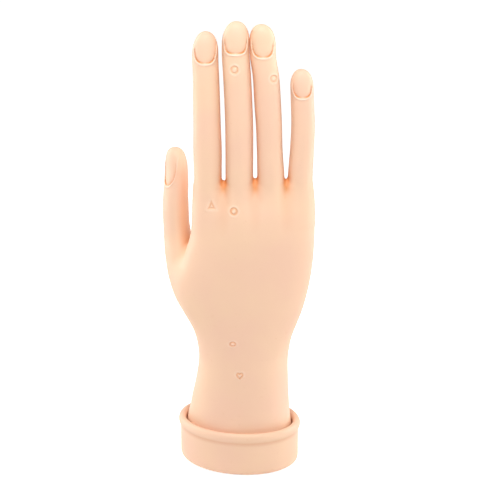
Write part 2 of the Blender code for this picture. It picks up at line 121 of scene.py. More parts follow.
# Each finger: place along it as a share of its length, middle across the hand, and half width
FINGER_ROWS = {
    "index": ((-0.50, -15.6, 7.0), (0.0, -15.8, 7.1), (0.18, -15.9, 7.3), (0.345, -16.0, 7.0),
              (0.515, -16.15, 6.85), (0.69, -16.3, 6.6), (0.80, -16.6, 6.6), (1.0, -16.2, 6.6)),
    "middle": ((-0.50, 0.5, 7.0), (0.0, 0.3, 7.1), (0.17, 0.33, 7.1), (0.325, 0.25, 7.1),
               (0.48, -0.15, 7.05), (0.645, -0.75, 7.0), (0.80, -1.45, 6.9), (1.0, -1.0, 6.8)),
    "ring": ((-0.50, 17.0, 6.9), (0.0, 16.35, 6.95), (0.17, 15.75, 6.6), (0.33, 15.3, 6.65),
             (0.49, 14.55, 6.75), (0.655, 13.7, 6.65), (0.80, 12.13, 6.55), (0.88, 11.92, 6.55),
             (1.0, 11.3, 6.85)),
    "little": ((-0.50, 31.0, 6.4), (0.0, 31.6, 6.4), (0.24, 32.25, 6.15), (0.47, 32.6, 6.05),
               (0.695, 32.1, 5.9), (1.0, 31.4, 5.9)),
}
FINGERTIP_HEIGHTS = {"index": 229.9, "middle": 234.9, "ring": 233.4, "little": 211.2}
FINGERTIP_ROUNDING = {"index": 12.0, "middle": 10.8, "ring": 10.0, "little": 9.3, "thumb": 10.5}
CUTICLE_HEIGHTS = {"index": 214.4, "middle": 219.3, "ring": 217.5, "little": 197.2, "thumb": 149.6}

# The nail bed's outline: height of its curved part and reach round the finger, as shares of
# the finger's half width, and how square its corners are
NAIL_CURVE_SHARE = 1.1
NAIL_REACH_SHARES = {"thumb": 0.86}
NAIL_REACH_SHARE = 0.965
NAIL_POWERS = {"middle": 3.0, "thumb": 2.1}
NAIL_POWER = 2.5
NAIL_FADE_SHARES = (0.75, 1.45)

# The slot round a nail bed: its depth at the middle and what its corners add, its edge and how
# far it reaches in. The lip: how far outside and how wide it is
NAIL_SLOT_SHARES = (0.42, 0.58)
NAIL_SLOT_EDGE = (-0.15, 0.32)
NAIL_SLOT_REACH = 1.7
NAIL_LIP = (0.75, 0.6)

# Depth of a finger behind and before its middle, as shares of its half width
FINGER_DEPTH_SHARES = (
    (-0.50, 0.98, 0.98),
    (0.00, 1.00, 1.00),
    (0.18, 0.97, 0.97),
    (0.345, 0.96, 0.96),
    (0.52, 0.92, 0.93),
    (0.67, 0.90, 0.91),
    (0.80, 0.81, 0.89),
    (0.90, 0.74, 0.87),
    (1.00, 0.72, 0.86),
)
FINGER_POWER = 2.15
TIP_POWER = 2.2
TIP_FULLNESS = 0.5

# The ball of the thumb and the thumb: height, middle across and forward, half width,
# and half depth behind and before as shares of the half width
THUMB_ROWS = (
    (66.0, -8.0, 2.0, 2.0, 1.0, 1.0),
    (78.0, -15.0, 4.2, 9.4, 1.0, 1.0),
    (88.0, -20.5, 6.0, 12.0, 1.0, 1.0),
    (100.8, -26.1, 8.6, 11.3, 1.0, 1.0),
    (107.0, -28.6, 9.9, 9.9, 1.0, 1.0),
    (113.4, -30.6, 11.0, 8.7, 1.0, 1.0),
    (120.0, -32.2, 11.8, 7.5, 0.99, 1.0),
    (126.8, -33.0, 12.0, 7.0, 0.97, 0.98),
    (136.0, -33.4, 12.0, 6.95, 0.95, 0.96),
    (146.0, -33.1, 12.0, 6.7, 0.92, 0.94),
    (156.0, -32.6, 12.0, 6.3, 0.84, 0.90),
    (169.4, -33.3, 12.0, 6.1, 0.78, 0.88),
)
THUMB_TURN = -50.0

# How far below and above each hinge a zone reaches, in millimetres, from the root on; the zones set
# where the skin is cut into lengths
BEND_ZONES = {
    "index": ((-2.0, 10.0), (-8.0, 8.0), (-5.0, 5.0)),
    "middle": ((-2.0, 10.0), (-8.0, 8.0), (-5.0, 5.0)),
    "ring": ((-2.0, 10.0), (-8.0, 8.0), (-5.0, 5.0)),
    "little": ((-2.0, 8.5), (-8.0, 8.0), (-5.0, 5.0)),
    "thumb": ((-4.5, 9.0), (-5.5, 5.5)),
}
FINGER_NAMES = tuple(BEND_ZONES)

# Heights between which a finger comes clear of the rest of the hand
ALONE_HEIGHTS = {"finger": (157.0, 161.0), "thumb": (129.0, 134.0)}

# Wires: places in the plug in pitches along the wrist's oval, and how their run eases
WIRE_PLACE_SHARES = {"thumb": -2.0, "index": -1.0, "middle": 0.0, "ring": 1.0, "little": 2.0}
WIRE_FOOT_EASE_SHARE = 0.60
WIRE_ROOT_EASE_SHARE = 0.25
WIRE_STEPS = 28
WIRE_STEP = 1.2
WIRE_LEAST_STEPS = 8

# Marks moulded into the back: kind, place across, height and size
MARKS = (
    ("ring", -2.0, 211.5, 1.55),
    ("half_ring", 17.4, 207.0, 1.4),
    ("triangle", -13.9, 142.5, 1.1),
    ("ring", -2.5, 140.2, 1.5),
    ("oval", -3.2, 70.5, 1.35),
    ("heart", 0.4, 52.9, 1.4),
)
MARK_WIDTH = 0.5
MARK_REACH = 3.0

# The rim outside a mark's line: its height as a share of the line's depth, how far out and how
# wide it is. The raised middle: its height, and its spread as a share of the mark's size
MARK_RIM = (0.35, 1.0, 0.55)
MARK_MIDDLE = (0.4, 0.75)

# Depth and width of a mark's line, as shares of those of a ring
MARK_SHARES = {"half_ring": 0.8, "triangle": 0.7, "oval": 0.8, "heart": 0.85}

# Folds of the palm: start, pull and end of each line, across and up
PALM_FOLDS = (
    ((33.5, 132.0), (14.0, 128.0), (4.0, 148.0)),
    ((-22.0, 128.0), (0.0, 124.0), (29.0, 105.0)),
    ((-22.5, 129.0), (2.0, 112.0), (-3.0, 76.0)),
    ((-19.0, 62.0), (2.0, 58.0), (25.0, 62.0)),
)
FOLD_STEPS = 14
FOLD_REACH = 4.0
FAR = 1e3
PALM_FOLD_SHARE = 1.12
PALM_FOLD_HEIGHTS = (50, 152)

# Mounds of the palm: height of each, and its middle and spread across and up
PALM_MOUNDS = (
    (-0.9, 4.0, 13.0, 104.0, 24.0),
    (1.3, 27.0, 11.0, 92.0, 24.0),
    (0.8, -15.8, 6.0, 146.0, 7.0),
    (0.8, 0.3, 6.0, 146.0, 7.0),
    (0.8, 16.3, 6.0, 146.0, 7.0),
    (0.8, 31.4, 6.0, 146.0, 7.0),
)

# Folds on a finger's palm side: heights above each joint, from the root on
BEND_FOLDS = ((3.0,), (-1.2, 1.2), (0.0,))

# Webs on the back: middle of each across the hand, and how far its top differs in height
WEBS = ((-7.7, -0.75), (8.4, 0.5), (24.3, 0.0))

# Valleys that run down the back from the webs: depth, spread, and where each rises and fades
WEB_VALLEYS = ((0.5, 3.4, (122, 148), (152, 155)), (0.6, 1.5, (145, 151), (153, 156)))

# How softly two forms run together: heights, and the reach of the rounding there
FINGERS_JOIN = ((130, 140, 147, 153, 157), (11.0, 6.2, 2.6, 1.1, 0.8))
PALM_JOIN = ((136, 153), (4.5, 2.2))
THUMB_JOIN = ((108, 124), (6.5, 1.2))

# How closed in a place is, for the painted shade: how far it looks ahead, and what each look counts
SHADE_LOOKS_AHEAD = ((1.0, 0.30), (2.5, 0.26), (5.0, 0.16), (10.0, 0.12))

# What else counts in the painted shade and painted highlight of the vinyl: how much weaker the
# looks are above the webs and on the palm's side, painted shade on the thumb's inner side, on the
# webs and in the marks' lines, and painted highlight on their rims
PAINTED_SHADE_WEAKER = 0.6
THUMB_PAINTED_SHADE = 0.36
WEB_PAINTED_SHADE = 0.6
MARK_LINE_PAINTED_SHADE = 0.28
MARK_RIM_PAINTED_HIGHLIGHT = 0.7

# A nail bed's slot: painted shade at its middle, what its sides add and what its corners add. Then
# the painted shade of the whole slot, and the painted highlight of the paler lip
SLOT_PAINTED_SHADE_SHARES = (0.08, 0.12, 0.78)
SLOT_PAINTED_SHADE = 0.95
LIP_PAINTED_HIGHLIGHT = -0.55

# Painted shade on the cup: down in its slit, under its bead and along its foot
CUP_PAINTED_SHADE = (0.6, 0.28, 0.2)

# Boxes in which forms are read, across and deep, and how far past a cut a skin is made
HAND_BOX = ((-43, -28), (43, 28))
INNER_BOX = ((-36, -27), (40, 27))
FINGER_MARGIN = 1.0
FINGER_DETAIL_MARGIN = 1.5
FINGER_BOX_MARGIN = 2.5
FINGER_OVERRUN = 1.5
PALM_OVERRUN = 1.6
TIP_OVERRUN = 5.0

# Solids inside the skin: the spacing of their mesh, the room round them, how their ends are
# rounded, at the foot of the hollow or above it, and where the hollow starts below the wrist
INNER_STEP = 1.0
INNER_ROOM = 2.0
INNER_ROUNDING = {"hollow": 1.0, "filling": 4.0}
HOLLOW_FOOT = -4.0

# What belongs to a finger: height of the thumb's crotch, and how far out its own points lie
THUMB_CROTCH = 119.5
THUMB_SHARE = 1.22
STRAY_SHARE = 1.35

# How near to a mark, a nail bed's edge or a fold the mesh is made finer
NEAR_MARK = 1.4
NEAR_NAIL = 1.3
NEAR_FOLD = 2.0

# How near the true form a skin's outside lies, how near a level a cut face and its rim lie, how
# upright that face points, how near two points are one, and what keeps a division from 0
OUTSIDE_REACH = 0.06
LEVEL_REACH = 0.01
RIM_REACH = 1e-4
LEVEL_SLOPE = 0.999
DOUBLED_REACH = 0.01
TINY = 1e-9

# Edges of the foam and the plug that turn by more degrees than this stay sharp
SHARP_ANGLE = 40.0

# The ways for the wires: where they start in the palm, their steps, how far each runs past a
# cut, and the room left past a wire's end
BORE_START = 95.0
BORE_STEPS = 24
BORE_OVERRUN = 1.0
BORE_OVERRUN_INSIDE = 4.0
BORE_END_GAP = 0.3

# Light boxes: name, place, the setting that holds its watts, and size
LIGHTS = (
    ("left_box", (-0.7, 0.2, 0.3), "left_power", (0.5, 0.9)),
    ("right_box", (0.7, 0.1, 0.1), "right_power", (0.5, 0.9)),
    ("front_box", (0.2, -1.0, 0.75), "front_power", (0.9, 0.9)),
    ("top_box", (0.0, -0.28, 0.5), "top_power", (0.3, 0.3)),
)

# The rest of the stage: the sensor and the floor's half width are in millimetres, and the aim and
# the drop of the floor in metres
LIGHT_AIM = (0.0, 0.0, 0.12)
SENSOR_WIDTH = 36.0
WHITE = (1.0, 1.0, 1.0, 1.0)
FLOOR_SIZE = 6000.0
FLOOR_DROP = 0.0002
FLOOR_GLOW = 0.78
BRIGHTEST = 0.97

# Scales of the patterns in the finishes, in repeats to the metre
VINYL_CLOUDS = 38.0
VINYL_SHEEN = 90.0
VINYL_SOFT = 160.0
VINYL_FLECKS = 420.0
VINYL_GRAIN = 2300.0
FOAM_CELLS = 520.0
PLUG_CLOUDS = 60.0
PLUG_LINES = 700.0
WIRE_LINES = 2600.0

Bend = namedtuple("Bend", "body_before body_after start end low high")
Rows = namedtuple("Rows", "start per_unit table")
Tube = namedtuple("Tube", "rows low turn tip rounding wide")


# Settings that a user would change

def number(name, description, default, **more):
    return bpy.props.FloatProperty(name=name, description=description, default=default, **more)


def length(name, description, default):
    """A length in metres, given in millimetres."""
    return number(name, description, default * MM, unit="LENGTH", precision=5)


def degrees(name, description, default):
    """An angle in radians, given in degrees."""
    return number(name, description, math.radians(default), subtype="ANGLE")


def amount(name, description, default):
    """A number from 0 up."""
    return number(name, description, default, min=0.0)


def factor(name, description, default):
    return number(name, description, default, subtype="FACTOR", min=0.0, max=1.0)


def facets(name, description, default, least):
    """A whole number with a least value."""
    return bpy.props.IntProperty(name=name, description=description, default=default, min=least)


def colour(name, description, default):
    return bpy.props.FloatVectorProperty(name=name, description=description, default=default,
                                         subtype="COLOR", min=0.0, max=1.0)


class SkinSettings(bpy.types.PropertyGroup):
    """The moulded vinyl and the fineness of its meshes."""

    palm_step: length("Palm Mesh Step", "Spacing of the palm's mesh", 0.8)
    finger_step: length("Finger Mesh Step", "Spacing of the fingers' meshes", 0.5)
    wall: length("Wall", "Thickness of the hollow palm's skin", 3.0)
    bore: length("Wire Bore", "Radius of the way for a wire", 1.3)
    nail_groove: length("Nail Groove", "Depth of the slot round a nail bed", 0.75)
    nail_lip: length("Nail Lip", "Height of the fold outside the slot", 0.4)
    fold: length("Fold", "Depth of the bending folds", 0.4)
    mark: length("Mark", "Depth of the small moulded marks", 0.4)
    base: colour("Vinyl", "Colour of the vinyl", (0.88, 0.583, 0.412))
    # The colour of the painted shade deep in folds
    deep: colour("Painted Shade in Folds", "Colour of the vinyl deep in folds", (0.76, 0.30, 0.105))
    roughness: factor("Roughness", "Roughness of the vinyl", 0.52)


class CupSettings(bpy.types.PropertyGroup):
    """The oval cup that the wrist stands in."""

    half_width: length("Half Width", "Half of the oval's long side", 33.5)
    half_depth: length("Half Depth", "Half of the oval's short side", 26.6)
    height: length("Height", "Height of the beaded rim", 24.0)
    floor: length("Floor", "Thickness of the floor", 3.0)
    edge: length("Foot Rounding", "Radius of the rounded foot", 3.2)
    bead: length("Bead Radius", "Half of the thickness of the rim's bead", 2.1)
    bead_rise: length("Bead Rise", "Half of the height of the rim's bead", 2.7)
    overhang: length("Bead Overhang", "How far the bead stands out", 1.0)
    slit: length("Slit", "Gap between the wrist and the bead", 1.1)
    uneven: length("Unevenness", "How far the soft rim wanders", 0.5)
    turn: degrees("Turn", "Turn of the oval under the hand", -16.0)
    sides: facets("Sides", "Facets round the oval", 192, 24)


class CoreSettings(bpy.types.PropertyGroup):
    """The wires, the foam and the plug inside the skin."""

    wire_radius: length("Wire Radius", "Radius of each wire", 1.0)
    wire_pitch: length("Wire Pitch", "Spacing of the wires in the plug", 6.0)
    wire_seat: length("Wire Seat", "Depth of the wires in the plug", 8.0)
    wire_sides: facets("Wire Sides", "Facets round each wire", 14, 6)
    plug_height: length("Plug Height", "Height of the wrist plug", 14.0)
    cavity_top: length("Cavity Top", "Height of the hollow in the palm", 136.0)
    fit: length("Fit", "Clearance between two pieces", 0.3)
    foam_colour: colour("Foam", "Colour of the foam", (0.80, 0.68, 0.40))
    plug_colour: colour("Plug", "Colour of the plug", (0.64, 0.61, 0.55))
    metal_colour: colour("Wire", "Colour of the bare wire", (0.78, 0.78, 0.80))


class StageSettings(bpy.types.PropertyGroup):
    """Camera, lights and floor."""

    aim: bpy.props.FloatVectorProperty(name="Aim", description="Point that the camera looks at",
                                       default=(0.0037, 0.0, 0.1175), subtype="XYZ")
    distance: length("Distance", "Camera distance from its aim", 600.0)
    elevation: degrees("Elevation", "Camera angle above level", 16.0)
    lens: number("Lens", "Focal length in millimetres", 84.15, min=10.0)
    rise: number("Shift", "Upward shift of the frame", 0.0068)
    world_light: amount("World Light", "Even light all round", 0.25)
    left_power: amount("Left Power", "Watts of the left box", 4.8)
    right_power: amount("Right Power", "Watts of the right box", 5.8)
    front_power: amount("Front Power", "Watts of the front box", 0.33)
    top_power: amount("Top Power", "Watts of the top box", 1.8)


def settings(group):
    return getattr(bpy.context.scene, f"practice_hand_{group}")


def in_mm(value):
    return value / MM


# Forms and bends that have been worked out, by name
FORMS = {}
BENDS = {}


# Form of the hand: distances in millimetres from its surface, negative inside

def smooth_rows(rows, steps=2400):
    """A table's columns read off smooth curves through its rows, at small even steps."""
    table = np.array(rows, float)
    knots, values = table[:, 0], table[:, 1:]
    gaps = np.diff(knots)[:, None]
    rise = np.diff(values, axis=0) / gaps
    slope = np.vstack([rise[:1], (rise[:-1] * gaps[1:] + rise[1:] * gaps[:-1])
                       / (gaps[:-1] + gaps[1:]), rise[-1:]])
    places = np.linspace(knots[0], knots[-1], steps)
    low = np.clip(np.searchsorted(knots, places) - 1, 0, len(knots) - 2)
    span = gaps[low]
    t = ((places - knots[low]) / span[:, 0])[:, None]
    read = ((1 + 2 * t) * (1 - t) ** 2 * values[low] + t * (1 - t) ** 2 * span * slope[low]
            + t * t * (3 - 2 * t) * values[low + 1] + t * t * (t - 1) * span * slope[low + 1])
    return Rows(knots[0], (steps - 1) / (knots[-1] - knots[0]), read)


def read_rows(rows, place):
    """The table's columns at some places, and past its ends those of its first or last row."""
    spot = np.clip((place - rows.start) * rows.per_unit, 0, len(rows.table) - 1.001)
    low = spot.astype(int)
    share = (spot - low)[:, None]
    return (rows.table[low] * (1 - share) + rows.table[low + 1] * share).T


def smooth_min(a, b, reach):
    """The lesser of two distances, rounded over where they differ by less than the reach."""
    share = np.clip(reach - np.abs(a - b), 0, None) / reach
    return np.minimum(a, b) - share * share * reach / 4


def smooth_max(a, b, reach):
    """The greater of two distances, rounded over in the same way."""
    return -smooth_min(-a, -b, reach)


def ease(value, low, high):
    """0 below low and 1 above high, rising smoothly between them."""
    t = np.clip((value - low) / (high - low), 0, 1)
    return t * t * (3 - 2 * t)


def hump(value, width):
    """1 at 0, falling away on both sides."""
    return np.exp(-(value / width) ** 2)


def palm_rows():
    """The wrist's foot in the cup, then the palm: height, left, right, back, front, power."""
    cup = settings("cup")
    wall = 2 * cup.bead
    fit = settings("core").fit
    draws_in, gap = FOOT_DRAWS_IN
    rows = []
    for height, inset in ((cup.floor, wall + fit), (cup.height / 2, wall + fit),
                          (draws_in * cup.height, wall + gap * fit),
                          (cup.height, wall + cup.slit)):
        width, depth = in_mm(cup.half_width - inset), in_mm(cup.half_depth - inset)
        rows.append((in_mm(height), -width, width, depth, depth, 2.0))
    for height, left, right, back, front in PALM_SHARES:
        rows.append((height * WEB_HEIGHT, left * KNUCKLE_BREADTH, right * KNUCKLE_BREADTH,
                     back * PALM_DEPTH, front * PALM_DEPTH, PALM_POWER))
    return rows


def turned(x, y, angles):
    """Places across and forward turned about the upright axis, by one angle or one for each."""
    cos, sin = np.cos(angles), np.sin(angles)
    return cos * x - sin * y, sin * x + cos * y


def turned_with_foot(x, y, z):
    """Places in the wrist's own oval, which is turned with the cup at its foot."""
    cup = settings("cup")
    foot = in_mm(cup.height)
    untwist = np.clip((z - foot) / (WAIST_SHARE * WEB_HEIGHT - foot), 0, 1)
    return turned(x, y, -cup.turn * (1 - untwist))


def palm_distance(points):
    """The wrist and palm alone, closed at the top along the webs."""
    x, y, z = points.T
    if "palm" not in FORMS:
        FORMS["palm"] = smooth_rows(palm_rows())
    left, right, back, front, power = read_rows(FORMS["palm"], z)
    x, y = turned_with_foot(x, y, z)
    half = (right - left) / 2
    deep = np.where(y < 0, back, front)
    u = np.abs(x - (left + right) / 2) / half
    v = np.abs(y) / deep
    q = (u ** power + v ** power + TINY) ** (1 / power)
    slope = np.hypot((u / q) ** (power - 1) / half, (v / q) ** (power - 1) / deep)
    top = WEB_HEIGHT + sum(rise * hump(x - middle, 5.0) for middle, rise in WEBS)
    return smooth_max((q - 1) / np.maximum(slope, 1e-6), z - top, 2.0)


def finger_tube(name):
    """One finger's form, from inside the palm to its rounded tip."""
    if name == "thumb":
        height, across, forward, width, back, front = np.array(THUMB_ROWS).T
        tip, turn = height[-1], math.radians(THUMB_TURN)
    else:
        root = JOINTS[f"{name}_root_bend"]["pos_m"]
        tip, turn = FINGERTIP_HEIGHTS[name], 0.0
        share, across, width = np.array(FINGER_ROWS[name]).T
        height = in_mm(root[2]) + share * (tip - in_mm(root[2]))
        forward = np.full(len(share), in_mm(root[1]))
        back, front = read_rows(smooth_rows(FINGER_DEPTH_SHARES), share)
    rows = np.column_stack([height, across, forward, width, width * back, width * front])
    return Tube(smooth_rows(rows), height[0], turn, tip, FINGERTIP_ROUNDING[name], width.max())


def tube_of(name):
    if name not in FORMS:
        FORMS[name] = finger_tube(name)
    return FORMS[name]


def in_tube(tube, points):
    """Places across and deep in a finger, its half width, depth and how far into the tip."""
    x, y, z = points.T
    across, forward, width, back, front = read_rows(tube.rows, z)
    a, b = turned(x - across, y - forward, -tube.turn)
    tip = (z - (tube.tip - tube.rounding)) / tube.rounding
    return a, b, width, np.where(b < 0, back, front), tip


def tube_distance(tube, points):
    """One finger alone."""
    across, deep, width, depth, tip = in_tube(tube, points)
    tip = np.clip(tip, 0, None)
    u = (np.abs(across) / width) ** FINGER_POWER
    v = (np.abs(deep) / depth) ** FINGER_POWER * (1 - TIP_FULLNESS * np.clip(tip, 0, 1) ** 2)
    q = (u + v + tip ** TIP_POWER + TINY) ** 0.5
    reach = np.sqrt(across ** 2 + deep ** 2 + (tip * tube.rounding) ** 2)
    # Past its lower end a finger dies away inside the palm
    return reach * (1 - 1 / q) + np.clip(tube.low - points[:, 2], 0, None)


def on_finger(name, points, margin):
    """Whether points lie on a finger or within a margin of it."""
    across, deep, width, _, _ = in_tube(tube_of(name), points)
    return np.hypot(across, deep) < width + margin


def share_out(name, points):
    """How far out points lie in a finger, as a share of the way to its skin."""
    across, deep, width, depth, _ = in_tube(tube_of(name), points)
    return np.hypot(across / width, deep / depth)


def hand_distance(points):
    """The whole skin, without its small relief."""
    z = points[:, 2]
    between = np.interp(z, *FINGERS_JOIN)
    fingers = tube_distance(tube_of("index"), points)
    for name in ("middle", "ring", "little"):
        fingers = smooth_min(fingers, tube_distance(tube_of(name), points), between)
    hand = smooth_min(fingers, palm_distance(points), np.interp(z, *PALM_JOIN))
    thumb = tube_distance(tube_of("thumb"), points)
    return smooth_min(hand, thumb, np.interp(z, *THUMB_JOIN))


def plain_form(name):
    """The skin without its relief: the whole hand, and above the webs only the named finger."""
    if name is None:
        return hand_distance
    tube = tube_of(name)
    low, high = ALONE_HEIGHTS["thumb" if name == "thumb" else "finger"]

    def form(points):
        own = tube_distance(tube, points)
        alone = ease(points[:, 2], low, high)
        near = alone < 1
        if near.any():
            whole = hand_distance(points[near])
            own[near] = alone[near] * own[near] + (1 - alone[near]) * whole
        return own

    return form


def skin_form(name):
    """The skin with its relief, of the whole hand or of one finger."""
    plain = plain_form(name)
    names = FINGER_NAMES if name is None else (name,)
    return lambda points: plain(points) - relief(points, names)


# Relief: how far the surface stands out, in millimetres

def nail_edge(name, points):
    """Distance inside a nail bed's U, negative outside it, how near its corners, and its fade."""
    tube = tube_of(name)
    across, deep, width, _, _ = in_tube(tube, points)
    z = points[:, 2]
    a = np.arcsin(np.clip(across / width, -1, 1)) * width
    half = NAIL_REACH_SHARES.get(name, NAIL_REACH_SHARE) * width
    low = CUTICLE_HEIGHTS[name]
    side = low + NAIL_CURVE_SHARE * tube.wide
    down = np.clip(side - z, 0, None)
    power = NAIL_POWERS.get(name, NAIL_POWER)
    q = ((np.abs(a) / half) ** power + (down / (side - low)) ** power + TINY) ** (1 / power)
    inside = np.hypot(a, down) * (1 / q - 1)
    corner = np.clip(2 * np.abs(a) * down / (half * (side - low)), 0, 1)
    fades = [low + share * tube.wide for share in NAIL_FADE_SHARES]
    fade = (1 - ease(z, *fades)) * (1 - ease(deep, -1.5, 0.5))
    return inside, corner, fade


def nail_relief(name, points):
    """A slot round the nail bed, deepest at its corners, with a low lip outside it."""
    skin = settings("skin")
    inside, corner, fade = nail_edge(name, points)
    middle, more = NAIL_SLOT_SHARES
    out, spread = NAIL_LIP
    groove = in_mm(skin.nail_groove) * (middle + more * corner)
    plate = np.exp(-(np.clip(inside, 0, None) / NAIL_SLOT_REACH) ** 1.5)
    lip = in_mm(skin.nail_lip) * hump(inside + out, spread)
    return (lip - groove * ease(inside, *NAIL_SLOT_EDGE) * plate) * fade


def near_nail(name, points):
    """Whether points lie near a nail bed's edge."""
    inside, _, fade = nail_edge(name, points)
    return (np.abs(inside) < NEAR_NAIL) & (fade > 0.02)


def mark_distance(kind, x, z, size):
    """Distance from a mark's line, in the plane of the hand."""
    if kind == "triangle":
        z = 0.75 * z
        reach = np.maximum(np.abs(x) * math.cos(math.pi / 6) + z * 0.5, -z)
        return reach - size * 0.7
    if kind == "oval":
        return np.hypot(x, 1.3 * z) - size
    if kind == "heart":
        return np.hypot(x, 1.15 * z - 0.75 * np.sqrt(np.abs(x) * size)) - size
    return np.hypot(x, z) - size


def mark_relief(points):
    """Shallow outlines on the back of the hand, each with a low rim and a raised middle."""
    x, y, z = points.T
    depth = in_mm(settings("skin").mark)
    rim, out, spread = MARK_RIM
    middle, wide = MARK_MIDDLE
    total = np.zeros(len(points))
    for kind, across, height, size in MARKS:
        near = np.hypot(x - across, z - height) < size + MARK_REACH
        off = mark_distance(kind, x[near] - across, z[near] - height, size)
        share = MARK_SHARES.get(kind, 1.0)
        rise = -hump(off, MARK_WIDTH * share) + rim * hump(off - out, spread)
        rise += middle * hump(off + size, wide * size)
        total[near] += depth * share * rise * (1 - ease(y[near], -1.5, 0.0))
    return total


def near_mark(points):
    """Whether points lie on or near a mark."""
    x, y, z = points.T
    near = np.zeros(len(points), bool)
    for kind, across, height, size in MARKS:
        near |= (np.hypot(x - across, z - height) < size + NEAR_MARK) & (y < 0)
    return near


def fold_points(fold):
    """Points along one fold of the palm, on a curve from its start to its end."""
    t = np.linspace(0, 1, FOLD_STEPS)[:, None]
    start, pull, end = (np.array(point) for point in fold)
    return (1 - t) ** 2 * start + 2 * t * (1 - t) * pull + t * t * end


def fold_distance(fold, points):
    """Distance across the palm from a fold's line, and the place along it."""
    line = fold_points(fold)
    best = np.full(len(points), FAR)
    where = np.zeros(len(points))
    flat = points[:, (0, 2)]
    near = ((flat > line.min(0) - FOLD_REACH) & (flat < line.max(0) + FOLD_REACH)).all(1)
    best[near], where[near] = line_distance(line, flat[near])
    return best, where


def line_distance(line, flat):
    """Distance from a chain of points in a plane, and the place along it from 0 to 1."""
    best = np.full(len(flat), FAR)
    where = np.zeros(len(flat))
    for step, (a, b) in enumerate(zip(line, line[1:])):
        along = np.clip(((flat - a) @ (b - a)) / ((b - a) @ (b - a)), 0, 1)
        off = np.linalg.norm(flat - a - along[:, None] * (b - a), axis=1)
        nearer = off < best
        best[nearer] = off[nearer]
        where[nearer] = (step + along[nearer]) / (len(line) - 1)
    return best, where


def on_palm_side(points):
    """Whether points lie where the palm has its folds."""
    low, high = PALM_FOLD_HEIGHTS
    return (points[:, 1] > 0) & (points[:, 2] > low) & (points[:, 2] < high)


def palm_relief(points):
    """Mounds and folds on the palm's side, and soft valleys between the tendons on the back."""
    x, y, z = points.T
    front = ease(y, 1.0, 5.0)
    back = 1 - ease(y, -4.0, -1.0)
    total = np.zeros(len(points))
    for rise, across, wide, height, tall in PALM_MOUNDS:
        total += rise * front * hump(x - across, wide) * hump(z - height, tall)
    for middle, _ in WEBS:
        for depth, spread, rises, fades in WEB_VALLEYS:
            along = ease(z, *rises) * (1 - ease(z, *fades))
            total -= depth * back * hump(x - middle, spread) * along
    palm = on_palm_side(points)
    crease = PALM_FOLD_SHARE * in_mm(settings("skin").fold)
    for fold in PALM_FOLDS:
        off, where = fold_distance(fold, points[palm])
        ends = ease(where, 0, 0.15) * (1 - ease(where, 0.8, 1))
        total[palm] -= crease * hump(off, 0.9) * ends * front[palm]
    return total


def bend_folds(name):
    """Heights of the folds on a finger's palm side."""
    heights = []
    for bend, lines in zip(finger_bends(name), BEND_FOLDS):
        if name == "thumb" and bend is finger_bends(name)[0]:
            continue
        joint = in_mm(JOINTS[bend_joint(bend)]["pos_m"][2])
        heights += [joint + line for line in lines]
    return heights


def finger_fold_relief(name, points):
    """Folds on the palm side of a finger, and the soft pads between them."""
    across, deep, width, _, _ = in_tube(tube_of(name), points)
    z = points[:, 2]
    front = 0.6 * ease(deep, 3.0, 6.0) if name == "thumb" else ease(deep, 0.5, 4.0)
    total = np.zeros(len(points))
    for height in bend_folds(name):
        off = z - height - 0.8 * (across / width) ** 2
        total -= in_mm(settings("skin").fold) * hump(off, 0.62) + 0.25 * hump(off, 2.6)
    return total * front


def near_fold(name, points):
    """Whether points lie near one of a finger's folds."""
    deep = in_tube(tube_of(name), points)[1]
    near = np.zeros(len(points), bool)
    for height in bend_folds(name):
        near |= np.abs(points[:, 2] - height) < NEAR_FOLD
    return near & (deep > 0.5)


def relief(points, names):
    """All of the small relief together, with that of the named fingers."""
    z = points[:, 2]
    total = mark_relief(points)
    palm = z < PALM_RELIEF_TOP
    if palm.any():
        total[palm] += palm_relief(points[palm])
    for name in names:
        own = (z > finger_bends(name)[0].start) & on_finger(name, points, FINGER_MARGIN)
        if own.any():
            total[own] += nail_relief(name, points[own]) + finger_fold_relief(name, points[own])
    return total


def near_detail(points, names, broad):
    """Where the skin's mesh has to be finer, with or without the palm's broad folds."""
    near = near_mark(points)
    for name in names:
        own = on_finger(name, points, FINGER_DETAIL_MARGIN)
        own &= points[:, 2] > finger_bends(name)[0].start
        if own.any():
            near[own] |= near_nail(name, points[own]) | near_fold(name, points[own])
    palm = on_palm_side(points)
    if broad and palm.any():
        for fold in PALM_FOLDS:
            near[palm] |= fold_distance(fold, points[palm])[0] < NEAR_FOLD
    return near


def slope_of(form, points, step=0.04):
    """The direction in which a distance grows at each point, from four samples round it."""
    corners = np.array([(1, -1, -1), (-1, -1, 1), (-1, 1, -1), (1, 1, 1)], float)
    return sum(corner * form(points + corner * step)[:, None] for corner in corners) / (4 * step)


def unit(vectors):
    return vectors / np.maximum(np.linalg.norm(vectors, axis=1, keepdims=True), TINY)


def moved_onto(points, off, form, least=0.0):
    """Points moved down a form's slope by the distance that each is off."""
    slope = slope_of(form, points)
    return points - (off / np.maximum((slope * slope).sum(1), least))[:, None] * slope


def settle(name, points, rounds=4):
    """Moves points along the plain form's own slope until they lie on the skin."""
    plain, skin = plain_form(name), skin_form(name)
    for _ in range(rounds):
        points = moved_onto(points, skin(points), plain)
    return points


# Where the fingers bend

def joint_names(name):
    return [f"{name}_{kind}_bend" for kind in ("root", "knuckle", "tip")
            if f"{name}_{kind}_bend" in JOINTS]


def bend_joint(bend):
    return next(name for name, joint in JOINTS.items() if joint["child"] == bend.body_after)


